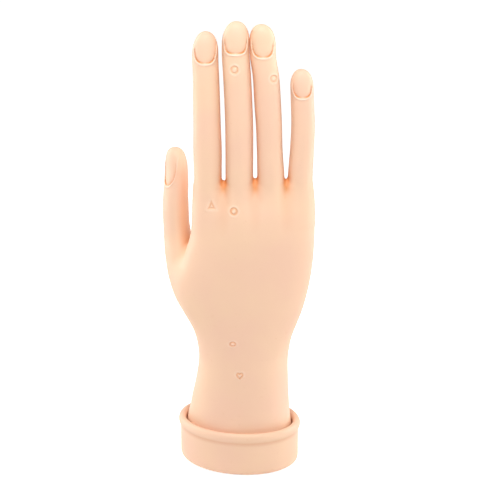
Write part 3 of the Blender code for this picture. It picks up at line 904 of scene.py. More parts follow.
def finger_bends(name):
    """One bend for each length of a finger: its bodies, its zone and where it is cut."""
    if name in BENDS:
        return BENDS[name]
    joints = [JOINTS[joint] for joint in joint_names(name)]
    zones = [(in_mm(joint["pos_m"][2]) + low, in_mm(joint["pos_m"][2]) + high)
             for joint, (low, high) in zip(joints, BEND_ZONES[name])]
    cuts = [zones[0][0]] + [(low[1] + high[0]) / 2 for low, high in zip(zones, zones[1:])]
    cuts.append(tube_of(name).tip + TIP_OVERRUN)
    BENDS[name] = [Bend(joint["parent"], joint["child"], *zone, low, high)
                   for joint, zone, low, high in zip(joints, zones, cuts, cuts[1:])]
    return BENDS[name]


# Mesh making

def surface_net(form, low, high, step):
    """Points and four-sided faces of a form's surface in a box: one point for each crossed cell."""
    axes = [np.arange(a, b + step, step) for a, b in zip(low, high)]
    places = np.stack(np.meshgrid(*axes, indexing="ij"), -1)
    values = form(places.reshape(-1, 3)).reshape(places.shape[:3])
    cells = np.array(values.shape) - 1
    total = np.zeros((*cells, 3))
    count = np.zeros(cells, int)
    crossings = []
    for axis in range(3):
        order = (axis, (axis + 1) % 3, (axis + 2) % 3)
        field = values.transpose(order)
        sums, counts = total.transpose(*order, 3), count.transpose(order)
        first, second = field[:-1], field[1:]
        crossed = (first < 0) != (second < 0)
        share = np.where(crossed, first, 0) / np.where(crossed, first - second, 1)
        point = places.transpose(*order, 3)[:-1] * crossed[..., None]
        point[..., axis] += share * step
        for a in (0, 1):
            for b in (0, 1):
                part = (slice(None), slice(a, a + cells[order[1]]), slice(b, b + cells[order[2]]))
                sums += point[part]
                counts += crossed[part]
        crossings.append((order, crossed, first < 0))
    used = count > 0
    point_of = np.full(cells, -1)
    point_of[used] = np.arange(used.sum())
    faces = []
    for order, crossed, outward in crossings:
        cell = point_of.transpose(order)
        i, j, k = np.nonzero(crossed[:, 1:-1, 1:-1])
        loop = np.stack([cell[i, j, k], cell[i, j + 1, k], cell[i, j + 1, k + 1],
                         cell[i, j, k + 1]], 1)
        back = ~outward[:, 1:-1, 1:-1][i, j, k]
        loop[back] = loop[back][:, ::-1]
        faces.append(loop)
    return total[used] / count[used][:, None], np.concatenate(faces)


def shape_from(points, faces):
    """A bmesh in millimetres."""
    mesh = bpy.data.meshes.new("shape")
    mesh.from_pydata(points.tolist(), [], faces.tolist())
    shape = bmesh.new()
    shape.from_mesh(mesh)
    bpy.data.meshes.remove(mesh)
    return shape


def places_of(shape):
    return np.array([vert.co[:] for vert in shape.verts])


def place_verts(shape, points):
    for vert, point in zip(shape.verts, points.tolist()):
        vert.co = point


def refine(name, shape, rounds=2):
    """Halves the edges where detail is near, and settles the new points."""
    names = FINGER_NAMES if name is None else (name,)
    for turn in range(rounds):
        points = places_of(shape)
        shape.verts.index_update()
        pairs = np.array([[v.index for v in edge.verts] for edge in shape.edges])
        wanted = near_detail(points, names, turn == 0)
        chosen = wanted[pairs].any(1)
        edges = [edge for edge, pick in zip(shape.edges, chosen) if pick]
        if edges:
            bmesh.ops.subdivide_edges(shape, edges=edges, cuts=1, use_grid_fill=True)
            place_verts(shape, settle(name, places_of(shape), 2))


def cut_level(shape, level, keep_above, part=None):
    """Cuts the shape level, drops one side and closes the cut. The part says where it is cut."""
    faces = list(shape.faces)
    if part is not None:
        wanted = part(np.array([face.calc_center_median()[:] for face in faces]))
        faces = [face for face, pick in zip(faces, wanted) if pick]
    edges = {edge for face in faces for edge in face.edges}
    verts = {vert for face in faces for vert in face.verts}
    bmesh.ops.bisect_plane(shape, geom=[*faces, *edges, *verts], dist=1e-5, plane_co=(0, 0, level),
                           plane_no=(0, 0, 1), clear_inner=keep_above, clear_outer=not keep_above)
    rim = [edge for edge in shape.edges if edge.is_boundary
           and all(abs(vert.co.z - level) < RIM_REACH for vert in edge.verts)]
    normal = (0, 0, -1 if keep_above else 1)
    bmesh.ops.triangle_fill(shape, edges=rim, use_beauty=True, normal=normal)


def placed(name, data):
    """A new object in the scene."""
    obj = bpy.data.objects.new(name, data)
    bpy.context.scene.collection.objects.link(obj)
    return obj


def mesh_object(name, shape):
    """An object from a bmesh in millimetres, with its faces outwards."""
    bmesh.ops.recalc_face_normals(shape, faces=shape.faces)
    shape.transform(Matrix.Scale(MM, 4))
    mesh = bpy.data.meshes.new(name)
    shape.to_mesh(mesh)
    shape.free()
    return placed(name, mesh)


def chain_object(name, points):
    """A chain of edges through points in metres."""
    mesh = bpy.data.meshes.new(name)
    mesh.from_pydata(points, [(i, i + 1) for i in range(len(points) - 1)], [])
    return placed(name, mesh)


def baked(obj):
    """Turns an object's modifiers into its mesh."""
    graph = bpy.context.evaluated_depsgraph_get()
    mesh = bpy.data.meshes.new_from_object(obj.evaluated_get(graph))
    obj.modifiers.clear()
    old, obj.data = obj.data, mesh
    bpy.data.meshes.remove(old)


def cut_away(obj, cutters):
    """Cuts closed shapes out of a closed piece, and removes them."""
    for cutter in cutters:
        before = len(obj.data.polygons)
        step = obj.modifiers.new("cut", "BOOLEAN")
        step.operation = "DIFFERENCE"
        step.solver = "MANIFOLD"
        step.object = cutter
        baked(obj)
        bpy.data.objects.remove(cutter)
        if len(obj.data.polygons) in (0, before):
            raise RuntimeError(f"{obj.name} could not be cut")


def tube_cutter(path, radius, sides=20):
    """A closed upright tube along a path, for cutting."""
    shape = bmesh.new()
    angles = [2 * math.pi * step / sides for step in range(sides)]
    loops = [[shape.verts.new((x + radius * math.cos(angle), y + radius * math.sin(angle), z))
              for angle in angles] for x, y, z in path]
    for low, high in zip(loops, loops[1:]):
        for step in range(sides):
            after = (step + 1) % sides
            shape.faces.new((low[step], low[after], high[after], high[step]))
    shape.faces.new(reversed(loops[0]))
    shape.faces.new(loops[-1])
    return mesh_object("cutter", shape)


def mesh_points(mesh):
    points = np.empty(len(mesh.vertices) * 3)
    mesh.vertices.foreach_get("co", points)
    return in_mm(points.reshape(-1, 3))


def store_painted_shade(mesh, values):
    """Keeps the painted shade and painted highlight of each point of a mesh, for its material."""
    attribute = mesh.attributes.new("fold_depth", "FLOAT", "POINT")
    attribute.data.foreach_set("value", values.astype(np.float32))


def paint(obj, material):
    obj.data.materials.clear()
    obj.data.materials.append(material)


def finish_skin(obj, name, levels, material):
    """Normals of the true form on the outside, painted shade and painted highlight for each point,
    and vinyl.
    """
    mesh = obj.data
    points = mesh_points(mesh)
    skin = skin_form(name)
    outside = np.abs(skin(points)) < OUTSIDE_REACH
    normals = np.zeros_like(points)
    normals[outside] = unit(slope_of(skin, points[outside]))
    # Painted shade deep in folds and painted highlight on lips and rims, for each point of the
    # outside
    depth = np.zeros(len(points))
    depth[outside] = fold_depth(points[outside], normals[outside])
    store_painted_shade(mesh, depth)
    mesh.polygons.foreach_set("use_smooth", np.ones(len(mesh.polygons), bool))
    loops = np.empty(len(mesh.loops), int)
    mesh.loops.foreach_get("vertex_index", loops)
    loop_normals = normals[loops]
    for face in mesh.polygons:
        own = slice(face.loop_start, face.loop_start + face.loop_total)
        level = abs(face.normal.z) > LEVEL_SLOPE and any(
            abs(in_mm(face.center.z) - each) < LEVEL_REACH for each in levels)
        if level or not outside[loops[own]].all():
            loop_normals[own] = face.normal
    mesh.normals_split_custom_set(loop_normals.tolist())
    paint(obj, material)


def nail_painted_shade(name, points):
    """Painted shade in a nail bed's slot, deepest at its corners, and painted highlight on the
    paler lip outside it.
    """
    across, _, width, _, _ = in_tube(tube_of(name), points)
    inside, corner, fade = nail_edge(name, points)
    middle, sides, corners = SLOT_PAINTED_SHADE_SHARES
    slot = hump(inside - 0.2, 0.45) * (middle + sides * (across / width) ** 2 + corners * corner)
    return (SLOT_PAINTED_SHADE * slot + LIP_PAINTED_HIGHLIGHT * hump(inside + 0.62, 0.42)) * fade


def fold_depth(points, normals):
    """Painted shade, from 0 in the open to 1 deep in a fold, by how close the skin is ahead.
    Painted highlight on lips and rims is below 0.
    """
    total = np.zeros(len(points))
    x, y, z = points.T
    # Painted shade where the skin ahead is near
    for reach, weight in SHADE_LOOKS_AHEAD:
        ahead = hand_distance(points + normals * reach)
        total += weight * np.clip(1 - ahead / reach, 0, 1)
    # Weaker painted shade above the webs and on the palm's side
    palm_side = ease(y, 2, 8) * (1 - ease(z, 144, 152))
    total *= 1 - PAINTED_SHADE_WEAKER * np.maximum(ease(z, 154, 163), palm_side)
    for name in FINGER_NAMES:
        own = (z > CUTICLE_HEIGHTS[name] - 4) & on_finger(name, points, FINGER_MARGIN)
        # Painted shade in the nail beds' slots and painted highlight on their lips
        if own.any():
            total[own] += nail_painted_shade(name, points[own])
    # Painted shade on the thumb's inner side, which faces the palm
    thumb = on_finger("thumb", points, FINGER_MARGIN)
    total += THUMB_PAINTED_SHADE * thumb * np.clip(normals[:, 0], 0, 1) * (1 - ease(z, 144, 156))
    # Painted shade down in the webs on the back
    for middle, _ in WEBS:
        narrow = hump(x - middle, 0.8 + 0.5 * ease(z, 149, 154))
        total += WEB_PAINTED_SHADE * narrow * ease(z, 147.5, 154) * (1 - ease(z, 156, 158)) * (y < 0)
    # Painted shade in the marks' lines and painted highlight on their rims and raised middles
    marks = mark_relief(points) / in_mm(settings("skin").mark)
    rims = np.maximum(marks, 0) * (total < 0.2)
    total -= MARK_LINE_PAINTED_SHADE * np.minimum(marks, 0) + MARK_RIM_PAINTED_HIGHLIGHT * rims
    return np.clip(total, -1, 1)


# Node trees and materials

def feed(socket, value):
    """Links an input to another node's output, or gives it a plain value."""
    if hasattr(value, "is_output"):
        socket.id_data.links.new(value, socket)
    else:
        socket.default_value = value


def feed_all(node, **inputs):
    """Feeds inputs by name, with _ for a space."""
    for key, value in inputs.items():
        feed(node.inputs[key.replace("_", " ")], value)


def add_node(tree, kind, options=None, **inputs):
    """A shader or geometry node with its options and inputs."""
    node = tree.nodes.new(kind)
    for key, value in (options or {}).items():
        setattr(node, key, value)
    feed_all(node, **inputs)
    return node


def maths(tree, operation, *values):
    node = add_node(tree, "ShaderNodeMath", {"operation": operation})
    for socket, value in zip(node.inputs, values):
        feed(socket, value)
    return node.outputs["Value"]


def mixed(tree, share, first, second):
    """A mix of two, each of them a colour or another node's output."""
    node = add_node(tree, "ShaderNodeMix", {"data_type": "RGBA"})
    feed(node.inputs[0], share)
    for socket, value in zip(node.inputs[6:8], (first, second)):
        feed(socket, value if hasattr(value, "is_output") else (*value, 1.0))
    return node.outputs[2]


def ranged(tree, value, low, high, to_low=0.0, to_high=1.0):
    return add_node(tree, "ShaderNodeMapRange", Value=value, From_Min=low, From_Max=high,
                    To_Min=to_low, To_Max=to_high).outputs["Result"]


def noise(tree, place, scale, detail=3.0):
    return add_node(tree, "ShaderNodeTexNoise", Vector=place, Scale=scale,
                    Detail=detail).outputs["Fac"]


def bumped(tree, height, strength, distance, **under):
    """A surface roughened by a height, over an earlier bump where one is given."""
    return add_node(tree, "ShaderNodeBump", Height=height, Strength=strength, Distance=distance,
                    **under).outputs["Normal"]


def tinted(base, shares):
    """A colour with each channel scaled, and none past the brightest."""
    return tuple(min(BRIGHTEST, channel * share) for channel, share in zip(base, shares))


def new_material(name, roughness, metallic=0.0):
    """A material with its tree, its shader and the place on the object."""
    material = bpy.data.materials.new(name)
    material.use_nodes = True
    tree = material.node_tree
    shader = tree.nodes["Principled BSDF"]
    feed_all(shader, Roughness=roughness, Metallic=metallic)
    return material, tree, shader, add_node(tree, "ShaderNodeTexCoord").outputs["Object"]


def vinyl_material(name):
    """Soft peach vinyl: cloudy colour, painted shade in its folds and painted highlight on its lips
    and rims, with a fine moulded grain.
    """
    skin = settings("skin")
    material, tree, shader, place = new_material(name, skin.roughness)
    base = tuple(skin.base)
    pink, yellow = tinted(base, (1.0, 0.975, 0.99)), tinted(base, (1.01, 1.025, 0.99))
    cloud = ranged(tree, noise(tree, place, VINYL_CLOUDS, 2.0), 0.35, 0.65)
    tone = mixed(tree, cloud, pink, yellow)
    fleck = ranged(tree, noise(tree, place, VINYL_FLECKS), 0.66, 0.8)
    tone = mixed(tree, fleck, tone, tinted(base, (0.97, 0.93, 0.88)))
    depth = add_node(tree, "ShaderNodeAttribute", {"attribute_name": "fold_depth"}).outputs["Fac"]
    # Painted shade in folds, in the colour set for it
    tone = mixed(tree, ranged(tree, depth, 0.03, 0.85), tone, tuple(skin.deep))
    # Painted highlight on lips and rims
    pale = tinted(base, (1.08, 1.22, 1.4))
    tone = mixed(tree, ranged(tree, depth, -0.02, -0.6), tone, pale)
    sheen = ranged(tree, noise(tree, place, VINYL_SHEEN, 2.0), 0.3, 0.7,
                   skin.roughness - 0.05, skin.roughness + 0.05)
    grain = bumped(tree, noise(tree, place, VINYL_GRAIN, 2.0), 0.12, 0.00012)
    soft = bumped(tree, noise(tree, place, VINYL_SOFT, 2.0), 0.2, 0.0004, Normal=grain)
    feed_all(shader, Base_Color=tone, Roughness=sheen, Normal=soft)
    return material


def foam_material():
    """Open foam: small dark cells between pale struts."""
    pale = tuple(settings("core").foam_colour)
    material, tree, shader, place = new_material("foam_cells", 0.95)
    cells = add_node(tree, "ShaderNodeTexVoronoi", Vector=place, Scale=FOAM_CELLS)
    cells = cells.outputs["Distance"]
    tone = mixed(tree, ranged(tree, cells, 0.1, 0.6), tinted(pale, (0.72, 0.72, 0.72)), pale)
    feed_all(shader, Base_Color=tone, Normal=bumped(tree, cells, 0.6, 0.0006))
    return material


def plug_material():
    """Plain hard plastic with faint turning lines."""
    grey = tuple(settings("core").plug_colour)
    material, tree, shader, place = new_material("plug_plastic_grey", 0.45)
    share = ranged(tree, noise(tree, place, PLUG_CLOUDS), 0.3, 0.7)
    tone = mixed(tree, share, tinted(grey, (0.93, 0.93, 0.93)), grey)
    feed_all(shader, Base_Color=tone,
             Normal=bumped(tree, noise(tree, place, PLUG_LINES), 0.15, 0.0002))
    return material


def wire_material():
    """Soft drawn aluminium: satin, with fine lines along it."""
    metal = tuple(settings("core").metal_colour)
    material, tree, shader, place = new_material("drawn_aluminium", 0.32, 1.0)
    drawn = add_node(tree, "ShaderNodeMapping", Vector=place, Scale=(1.0, 1.0, 0.03))
    lines = noise(tree, drawn.outputs["Vector"], WIRE_LINES)
    tone = mixed(tree, ranged(tree, lines, 0.3, 0.7), tinted(metal, (0.86, 0.86, 0.86)), metal)
    feed_all(shader, Base_Color=tone, Roughness=ranged(tree, lines, 0.3, 0.7, 0.26, 0.42))
    return material


# Geometry node trees

def node_tree(name, sizes):
    """A geometry node tree with a geometry in and out, and named inputs for its sizes."""
    tree = bpy.data.node_groups.new(name, "GeometryNodeTree")
    tree.interface.new_socket("Geometry", in_out="OUTPUT", socket_type="NodeSocketGeometry")
    tree.interface.new_socket("Geometry", in_out="INPUT", socket_type="NodeSocketGeometry")
    for label, kind in sizes:
        tree.interface.new_socket(label, in_out="INPUT", socket_type=f"NodeSocket{kind}")
    tree.interface.new_socket("Material", in_out="INPUT", socket_type="NodeSocketMaterial")
    return tree, tree.nodes.new("NodeGroupInput").outputs


def end_tree(tree, geometry, inputs):
    """Smooth shading, real geometry and the material, and then the way out."""
    smooth = add_node(tree, "GeometryNodeSetShadeSmooth", Geometry=geometry).outputs["Geometry"]
    real = add_node(tree, "GeometryNodeRealizeInstances", Geometry=smooth).outputs["Geometry"]
    made = add_node(tree, "GeometryNodeSetMaterial", Geometry=real, Material=inputs["Material"])
    add_node(tree, "NodeGroupOutput", Geometry=made.outputs["Geometry"])


def run_tree(obj, tree, values):
    """Puts a tree on an object with its inputs set, and bakes the result."""
    step = obj.modifiers.new(tree.name, "NODES")
    step.node_group = tree
    sockets = {item.name: item.identifier for item in tree.interface.items_tree
               if item.in_out == "INPUT"}
    for label, value in values.items():
        step[sockets[label]] = value
    baked(obj)


def wire_tree():
    """A round wire of a given radius along an edge chain."""
    tree, inputs = node_tree("wire along path", (("Radius", "Float"), ("Sides", "Int")))
    path = add_node(tree, "GeometryNodeMeshToCurve", Mesh=inputs["Geometry"])
    ring = add_node(tree, "GeometryNodeCurvePrimitiveCircle", Radius=inputs["Radius"],
                    Resolution=inputs["Sides"])
    tube = add_node(tree, "GeometryNodeCurveToMesh", Curve=path.outputs["Curve"],
                    Profile_Curve=ring.outputs["Curve"], Fill_Caps=True)
    end_tree(tree, tube.outputs["Mesh"], inputs)
    return tree


def cup_tree():
    """An oval wall from a profile whose points hold inset, shrink and height."""
    tree, inputs = node_tree("oval wall from profile", (
        ("Half Width", "Float"), ("Half Depth", "Float"), ("Turn", "Float"), ("Sides", "Int"),
        ("Unevenness", "Float"), ("Rim Height", "Float")))

    def calc(operation, *values):
        return maths(tree, operation, *values)

    size = add_node(tree, "GeometryNodeAttributeDomainSize", Geometry=inputs["Geometry"])
    rows = size.outputs["Point Count"]
    grid = add_node(tree, "GeometryNodeMeshGrid", Vertices_X=calc("ADD", inputs["Sides"], 1.0),
                    Vertices_Y=rows)
    index = tree.nodes.new("GeometryNodeInputIndex").outputs["Index"]
    step = calc("FLOOR", calc("DIVIDE", calc("ADD", index, 0.5), rows))
    row = calc("SUBTRACT", index, calc("MULTIPLY", step, rows))
    angle = calc("MULTIPLY", calc("DIVIDE", step, inputs["Sides"]), 2 * math.pi)
    place = tree.nodes.new("GeometryNodeInputPosition").outputs["Position"]
    sample = add_node(tree, "GeometryNodeSampleIndex", {"data_type": "FLOAT_VECTOR"},
                      Geometry=inputs["Geometry"], Value=place, Index=row)
    split = add_node(tree, "ShaderNodeSeparateXYZ", Vector=sample.outputs["Value"])
    inset, shrink, height = (split.outputs[axis] for axis in "XYZ")

    def side(half, turn):
        reach = calc("MULTIPLY", calc("SUBTRACT", inputs[half], inset), shrink)
        return calc("MULTIPLY", reach, calc(turn, angle))

    wave = add_node(tree, "ShaderNodeCombineXYZ", X=calc("COSINE", angle), Y=calc("SINE", angle))
    wander = noise(tree, wave.outputs["Vector"], 1.3, 1.0)
    lift = calc("MULTIPLY", calc("SUBTRACT", wander, 0.5), inputs["Unevenness"])
    share = calc("POWER", calc("DIVIDE", height, inputs["Rim Height"]), 3.0)
    raised = calc("ADD", height, calc("MULTIPLY", lift, share))
    oval = add_node(tree, "ShaderNodeCombineXYZ", X=side("Half Width", "COSINE"),
                    Y=side("Half Depth", "SINE"), Z=raised)
    swung = add_node(tree, "ShaderNodeVectorRotate", {"rotation_type": "Z_AXIS"},
                     Vector=oval.outputs["Vector"], Angle=inputs["Turn"])
    wall = add_node(tree, "GeometryNodeSetPosition", Geometry=grid.outputs["Mesh"],
                    Position=swung.outputs["Vector"])
    merged = add_node(tree, "GeometryNodeMergeByDistance", Geometry=wall.outputs["Geometry"],
                      Distance=2 * DOUBLED_REACH * MM)
    end_tree(tree, merged.outputs["Geometry"], inputs)
    return tree


# Skin pieces

def finger_axis(name):
    """The wire's line in a finger, in millimetres: the joints, and the line's end in the tip."""
    spots = [np.array(JOINTS[joint]["pos_m"]) / MM for joint in joint_names(name)]
    low, high = (np.array(corner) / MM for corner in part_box(f"{name}_wire"))
    upward = unit((spots[-1] - spots[0])[None])[0]
    reach = (high[2] - spots[-1][2]) / upward[2]
    return spots + [spots[-1] + upward * reach]


def wire_line(name):
    """The wire's run up the wrist and palm, and on along its finger."""
    core, cup = settings("core"), settings("cup")
    spots = finger_axis(name)
    plug_top = in_mm(cup.floor + core.fit + core.plug_height)
    place = WIRE_PLACE_SHARES[name] * in_mm(core.wire_pitch)
    foot = np.array([place * math.cos(cup.turn), place * math.sin(cup.turn), 0.0])
    start = foot + (0, 0, plug_top)
    end = spots[0]
    span = np.linalg.norm(end - start)
    upward = unit((spots[1] - spots[0])[None])[0]
    controls = (start, start + (0, 0, span * WIRE_FOOT_EASE_SHARE),
                end - span * WIRE_ROOT_EASE_SHARE * upward, end)
    line = [foot + (0, 0, plug_top - in_mm(core.wire_seat))]
    for t in np.linspace(0, 1, WIRE_STEPS):
        weights = ((1 - t) ** 3, 3 * t * (1 - t) ** 2, 3 * t * t * (1 - t), t ** 3)
        line.append(sum(weight * point for weight, point in zip(weights, controls)))
    return np.array(line + spots[1:])


def on_line(line, heights):
    """Points of an upward line at given heights."""
    return np.column_stack([np.interp(heights, line[:, 2], line[:, 0]),
                            np.interp(heights, line[:, 2], line[:, 1]), heights])


def make_finger_skin(name, material):
    """The lengths of one finger's skin, each cut to span one joint."""
    skin = settings("skin")
    tube = tube_of(name)
    wide = tube.wide + FINGER_BOX_MARGIN
    line = wire_line(name)
    bends = finger_bends(name)

    def only_this(points):
        """The skin, with the fingers beside this one left out."""
        across, deep, width, _, _ = in_tube(tube, points)
        beside = np.hypot(across, deep) - (width + FINGER_MARGIN)
        return np.maximum(plain_form(name)(points), beside)

    for bend in bends:
        last = bend is bends[-1]
        heights = (bend.low - FINGER_OVERRUN, min(bend.high, tube.tip) + FINGER_OVERRUN)
        across, forward = read_rows(tube.rows, np.array(heights))[:2]
        low = (across.min() - wide, forward.min() - wide, heights[0])
        high = (across.max() + wide, forward.max() + wide, heights[1])
        points, faces = surface_net(only_this, low, high, in_mm(skin.finger_step))
        shape = shape_from(settle(name, points), faces)
        drop_strays(shape, name)
        refine(name, shape)
        cut_level(shape, bend.low, True)
        if not last:
            cut_level(shape, bend.high, False)
        piece = mesh_object(f"{bend.body_after}_cover", shape)
        top = line[-1][2] + BORE_END_GAP if last else bend.high + BORE_OVERRUN
        path = on_line(line, np.linspace(bend.low - BORE_OVERRUN, top, 9))
        cut_away(piece, [tube_cutter(path, in_mm(skin.bore))])
        finish_skin(piece, name, (bend.low, bend.high), material)
        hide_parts(f"{bend.body_after}_skin")
        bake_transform(piece)


def drop_strays(shape, name):
    """Removes bits of other fingers that a piece's box took in."""
    far = share_out(name, places_of(shape)) > STRAY_SHARE
    bmesh.ops.delete(shape, geom=[vert for vert, out in zip(shape.verts, far) if out],
                     context="VERTS")


def inner_solid(name, inset, low, high):
    """A closed solid that follows the inside of the wrist and palm, domed at its top."""
    def form(points):
        body = palm_distance(points) + inset
        ends = np.maximum(low - points[:, 2], points[:, 2] - high)
        return smooth_max(body, ends, INNER_ROUNDING["filling" if low > 0 else "hollow"])

    left, right = INNER_BOX
    points, faces = surface_net(form, (*left, low - INNER_ROOM), (*right, high + INNER_ROOM),
                                INNER_STEP)
    for _ in range(3):
        points = moved_onto(points, form(points), form, 0.1)
    return mesh_object(name, shape_from(points, faces))


def in_thumb(points):
    """Whether points above the thumb's crotch belong to the thumb and not to the palm."""
    return (points[:, 2] > THUMB_CROTCH) & (share_out("thumb", points) < THUMB_SHARE)


def make_palm_skin(material):
    """The palm and wrist in one hollow skin, up to the roots of the fingers and the thumb."""
    skin, core, cup = settings("skin"), settings("core"), settings("cup")
    foot = in_mm(cup.floor + core.fit)
    root = min(finger_bends(name)[0].low for name in FINGER_NAMES if name != "thumb")
    thumb = finger_bends("thumb")[0].low
    left, right = HAND_BOX
    points, faces = surface_net(hand_distance, (*left, foot - PALM_OVERRUN),
                                (*right, root + PALM_OVERRUN), in_mm(skin.palm_step))
    shape = shape_from(settle(None, points), faces)
    refine(None, shape)
    cut_level(shape, foot, True)
    cut_level(shape, root, False)
    cut_level(shape, thumb, False, in_thumb)
    palm = mesh_object("palm_cover", shape)
    cutters = [inner_solid("cavity", in_mm(skin.wall), HOLLOW_FOOT, in_mm(core.cavity_top))]
    for name in FINGER_NAMES:
        line = wire_line(name)
        top = finger_bends(name)[0].low + BORE_OVERRUN
        cutters.append(tube_cutter(on_line(line, np.linspace(BORE_START, top, BORE_STEPS)),
                                   in_mm(skin.bore)))
    cut_away(palm, cutters)
    finish_skin(palm, None, (foot, root, thumb), material)
    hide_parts("palm_skin")
    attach(palm, "hand")


# Cup

def arc(middle, height, radius, rise, start, end, steps=10):
    """Points of a rounded edge as inset and height: 0 degrees is outwards and 90 is up."""
    angles = np.radians(np.linspace(start, end, steps))
    return [(middle - radius * math.cos(angle), height + rise * math.sin(angle))
            for angle in angles]


def cup_profile():
    """Inset, shrink and height, from the middle of the underside over the rim to the floor."""
    cup = settings("cup")
    bead, edge, over = in_mm(cup.bead), in_mm(cup.edge), in_mm(cup.overhang)
    floor, rise = in_mm(cup.floor), in_mm(cup.bead_rise)
    middle = in_mm(cup.height) - rise
    start = -math.acos((bead - over) / bead)
    crease = middle + rise * math.sin(start)
    foot = over + edge
    points = [(foot, 0.0, 0.0), (foot, 0.5, 0.0), (foot, 0.9, 0.0)]
    points += [(inset, 1.0, z) for inset, z in arc(foot, edge, edge, edge, -90, 0)]
    points += [(over, 1.0, z) for z in np.linspace(edge, crease, 8)[1:-1]]
    rounded = arc(bead, middle, bead, rise, math.degrees(start), 180, 22)
    points += [(inset, 1.0, z) for inset, z in rounded]
    points += [(2 * bead, 1.0, z) for z in np.linspace(middle, floor, 8)[1:]]
    points += [(2 * bead, 0.6, floor), (2 * bead, 0.0, floor)]
    return [(inset * MM, shrink, z * MM) for inset, shrink, z in points]


def make_cup(material):
    """The cup's profile swept round its oval."""
    cup = settings("cup")
    shell = chain_object("cup_shell", cup_profile())
    run_tree(shell, cup_tree(), {
        "Half Width": cup.half_width, "Half Depth": cup.half_depth, "Turn": cup.turn,
        "Sides": cup.sides, "Unevenness": cup.uneven, "Rim Height": cup.height,
        "Material": material})
    outwards(shell)
    slit_painted_shade(shell)
    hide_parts("base_cup")
    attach(shell, "hand")


def outwards(obj):
    """Joins a mesh's doubled points and turns its faces outwards."""
    shape = bmesh.new()
    shape.from_mesh(obj.data)
    bmesh.ops.remove_doubles(shape, verts=shape.verts, dist=DOUBLED_REACH * MM)
    bmesh.ops.recalc_face_normals(shape, faces=shape.faces)
    shape.to_mesh(obj.data)
    shape.free()


def slit_painted_shade(obj):
    """Painted shade on the cup's vinyl down inside the slit, under the bead and along the foot."""
    cup = settings("cup")
    points = mesh_points(obj.data)
    x, y = turned(points[:, 0], points[:, 1], -cup.turn)
    wall = in_mm(2 * cup.bead)
    share = np.hypot(x / (in_mm(cup.half_width) - wall), y / (in_mm(cup.half_depth) - wall))
    inner = 1 - ease(share, 1.0, 1.035)
    height = in_mm(cup.height)
    # Painted shade down in the slit, under the bead and along the foot
    depth = inner * (1 - ease(points[:, 2], height - 5.0, height - 0.8))
    under = hump(points[:, 2] - (height - 1.95 * in_mm(cup.bead_rise)), 0.8) * (1 - inner)
    foot = hump(points[:, 2], 1.2) * (1 - inner)
    tone = sum(share * part for share, part in zip(CUP_PAINTED_SHADE, (depth, under, foot)))
    store_painted_shade(obj.data, np.clip(tone, 0, 1))


# Core

def make_wires(material):
    """Each finger's wire, in lengths cut at the same heights as the skin around them."""
    core = settings("core")
    tree = wire_tree()
    for name in FINGER_NAMES:
        line = wire_line(name)
        bends = finger_bends(name)
        for bend in bends:
            low = line[0][2] if bend is bends[0] else bend.low
            high = min(bend.high, line[-1][2])
            heights = np.linspace(low, high,
                                  max(WIRE_LEAST_STEPS, int((high - low) / WIRE_STEP)))
            points = (on_line(line, heights) * MM).tolist()
            wire = chain_object(f"{bend.body_after}_wire_length", points)
            run_tree(wire, tree, {"Radius": core.wire_radius, "Sides": core.wire_sides,
                                  "Material": material})
            outwards(wire)
            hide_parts(f"{name}_wire")
            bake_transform(wire)


def bore_cutters(low, high):
    """Tubes for the ways of all five wires between two heights."""
    radius = in_mm(settings("skin").bore)
    heights = np.linspace(low, high, BORE_STEPS)
    return [tube_cutter(on_line(wire_line(name), heights), radius, 16)
            for name in FINGER_NAMES]


def inner_piece(name, low, high, bore_foot, material):
    """A solid that fills the hollow between two heights, with the ways for the wires in it."""
    inset = in_mm(settings("skin").wall + settings("core").fit)
    piece = inner_solid(name, inset, low, high)
    cut_away(piece, bore_cutters(bore_foot, high + BORE_OVERRUN_INSIDE))
    piece.data.shade_smooth()
    piece.data.set_sharp_from_angle(angle=math.radians(SHARP_ANGLE))
    paint(piece, material)
    return piece


def make_foam():
    """The foam that fills the palm and wrist above the plug."""
    core, cup = settings("core"), settings("cup")
    low = in_mm(cup.floor + core.plug_height + 2 * core.fit)
    high = in_mm(core.cavity_top - core.fit)
    foam = inner_piece("foam_filling", low, high, low - INNER_ROOM, foam_material())
    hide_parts("foam_core")
    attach(foam, "hand")


def make_plug():
    """The plug that closes the wrist and holds the wires' feet."""
    core, cup = settings("core"), settings("cup")
    low = in_mm(cup.floor + core.fit)
    high = low + in_mm(core.plug_height)
    foot = high - in_mm(core.wire_seat) - BORE_END_GAP
    plug = inner_piece("wire_plug", low, high, foot, plug_material())
    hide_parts("wrist_plug")
    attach(plug, "hand")


# Stage

def camera_ray_share(tree):
    """1 for what the camera sees, straight or in gloss and glass, and 0 for the light itself."""
    path = tree.nodes.new("ShaderNodeLightPath")
    seen = maths(tree, "MAXIMUM", path.outputs["Is Camera Ray"], path.outputs["Is Glossy Ray"])
    return maths(tree, "MAXIMUM", seen, path.outputs["Is Transmission Ray"])


def make_world():
    """White to the camera, with a weaker light of its own."""
    world = bpy.data.worlds.new("white_studio")
    world.use_nodes = True
    tree = world.node_tree
    tree.nodes.clear()
    mix = tree.nodes.new("ShaderNodeMixShader")
    feed(mix.inputs[0], camera_ray_share(tree))
    for socket, strength in zip(mix.inputs[1:], (settings("stage").world_light, 1.0)):
        light = add_node(tree, "ShaderNodeBackground", Color=WHITE, Strength=strength)
        feed(socket, light.outputs[0])
    add_node(tree, "ShaderNodeOutputWorld", Surface=mix.outputs[0])
    bpy.context.scene.world = world


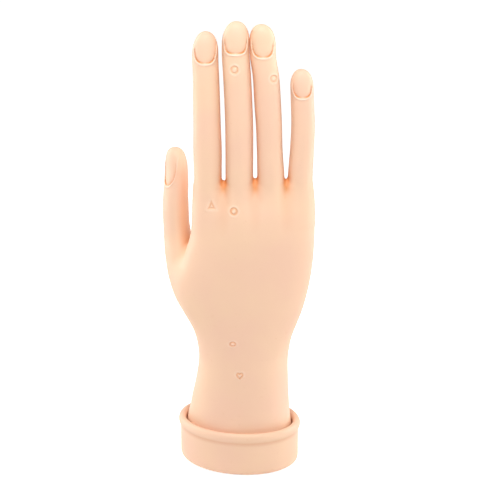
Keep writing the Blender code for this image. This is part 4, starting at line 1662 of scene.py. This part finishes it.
def make_floor():
    """A wide pale floor that keeps a soft shadow, and is white to the camera elsewhere."""
    shape = bmesh.new()
    bmesh.ops.create_grid(shape, x_segments=1, y_segments=1, size=FLOOR_SIZE)
    floor = mesh_object("floor", shape)
    floor.location.z = -FLOOR_DROP
    material, tree, shader, _ = new_material("pale_floor", 0.9)
    feed_all(shader, Base_Color=(0.9, 0.9, 0.9, 1.0), Emission_Color=WHITE,
             Emission_Strength=maths(tree, "MULTIPLY", camera_ray_share(tree), FLOOR_GLOW))
    paint(floor, material)


def add_light(name, place, power, size):
    """A box of light that faces the hand."""
    data = bpy.data.lights.new(name, "AREA")
    data.energy = power
    data.shape = "RECTANGLE"
    data.size, data.size_y = size
    light = placed(name, data)
    light.location = place
    light.rotation_euler = (Vector(LIGHT_AIM) - Vector(place)).to_track_quat("-Z", "Y").to_euler()


def make_camera():
    """The camera in front of the hand's back, a little above it."""
    stage = settings("stage")
    data = bpy.data.cameras.new("view")
    data.lens = stage.lens
    data.sensor_width = SENSOR_WIDTH
    data.shift_y = stage.rise
    camera = placed("view", data)
    aim = Vector(stage.aim)
    back = Vector((0, -math.cos(stage.elevation), math.sin(stage.elevation)))
    camera.location = aim + back * stage.distance
    camera.rotation_euler = (-back).to_track_quat("-Z", "Y").to_euler()
    bpy.context.scene.camera = camera


# Operators

class PRACTICE_HAND_OT_skin(bpy.types.Operator):
    """Build the palm's skin and the lengths of the fingers' skin"""

    bl_idname = "practice_hand.skin"
    bl_label = "Skin"

    def execute(self, context):
        material = vinyl_material("peach_vinyl")
        make_palm_skin(material)
        for name in FINGER_NAMES:
            make_finger_skin(name, material)
        return {"FINISHED"}


class PRACTICE_HAND_OT_cup(bpy.types.Operator):
    """Build the oval cup with its beaded rim"""

    bl_idname = "practice_hand.cup"
    bl_label = "Cup"

    def execute(self, context):
        make_cup(vinyl_material("cup_vinyl_peach"))
        return {"FINISHED"}


class PRACTICE_HAND_OT_wires(bpy.types.Operator):
    """Build the bendable wires in lengths, one for each length of a finger"""

    bl_idname = "practice_hand.wires"
    bl_label = "Wires"

    def execute(self, context):
        make_wires(wire_material())
        return {"FINISHED"}


class PRACTICE_HAND_OT_core(bpy.types.Operator):
    """Build the foam filling and the plug that closes the wrist"""

    bl_idname = "practice_hand.core"
    bl_label = "Foam and Plug"

    def execute(self, context):
        make_foam()
        make_plug()
        return {"FINISHED"}


class PRACTICE_HAND_OT_stage(bpy.types.Operator):
    """Set up the floor, the lights and the camera"""

    bl_idname = "practice_hand.stage"
    bl_label = "Stage"

    def execute(self, context):
        stage = settings("stage")
        make_world()
        make_floor()
        make_camera()
        for name, place, power, size in LIGHTS:
            add_light(name, place, getattr(stage, power), size)
        context.scene.view_settings.view_transform = "Standard"
        return {"FINISHED"}


class PRACTICE_HAND_PT_panel(bpy.types.Panel):
    """Shows the settings and the buttons that build the hand"""

    bl_label = "Practice Hand"
    bl_idname = "PRACTICE_HAND_PT_panel"
    bl_space_type = "VIEW_3D"
    bl_region_type = "UI"
    bl_category = "Practice Hand"

    def draw(self, context):
        for group, operators in PANEL_ROWS:
            box = self.layout.box()
            values = settings(group)
            for key in values.bl_rna.properties.keys():
                if key not in {"rna_type", "name"}:
                    box.prop(values, key)
            for operator in operators:
                box.operator(operator.bl_idname)


GROUPS = {"skin": SkinSettings, "cup": CupSettings, "core": CoreSettings, "stage": StageSettings}
OPERATORS = (PRACTICE_HAND_OT_stage, PRACTICE_HAND_OT_cup, PRACTICE_HAND_OT_wires,
             PRACTICE_HAND_OT_core, PRACTICE_HAND_OT_skin)
PANEL_ROWS = (
    ("skin", (PRACTICE_HAND_OT_skin,)),
    ("cup", (PRACTICE_HAND_OT_cup,)),
    ("core", (PRACTICE_HAND_OT_wires, PRACTICE_HAND_OT_core)),
    ("stage", (PRACTICE_HAND_OT_stage,)),
)
CLASSES = (*GROUPS.values(), *OPERATORS, PRACTICE_HAND_PT_panel)


def register():
    for each in CLASSES:
        bpy.utils.register_class(each)
    for group, kind in GROUPS.items():
        setattr(bpy.types.Scene, f"practice_hand_{group}", bpy.props.PointerProperty(type=kind))


def unregister():
    for group in GROUPS:
        delattr(bpy.types.Scene, f"practice_hand_{group}")
    for each in reversed(CLASSES):
        bpy.utils.unregister_class(each)


def main():
    register()
    bpy.ops.practice_hand.stage()
    bpy.ops.practice_hand.cup()
    bpy.ops.practice_hand.wires()
    bpy.ops.practice_hand.core()
    bpy.ops.practice_hand.skin()


if __name__ == "__main__":
    main()
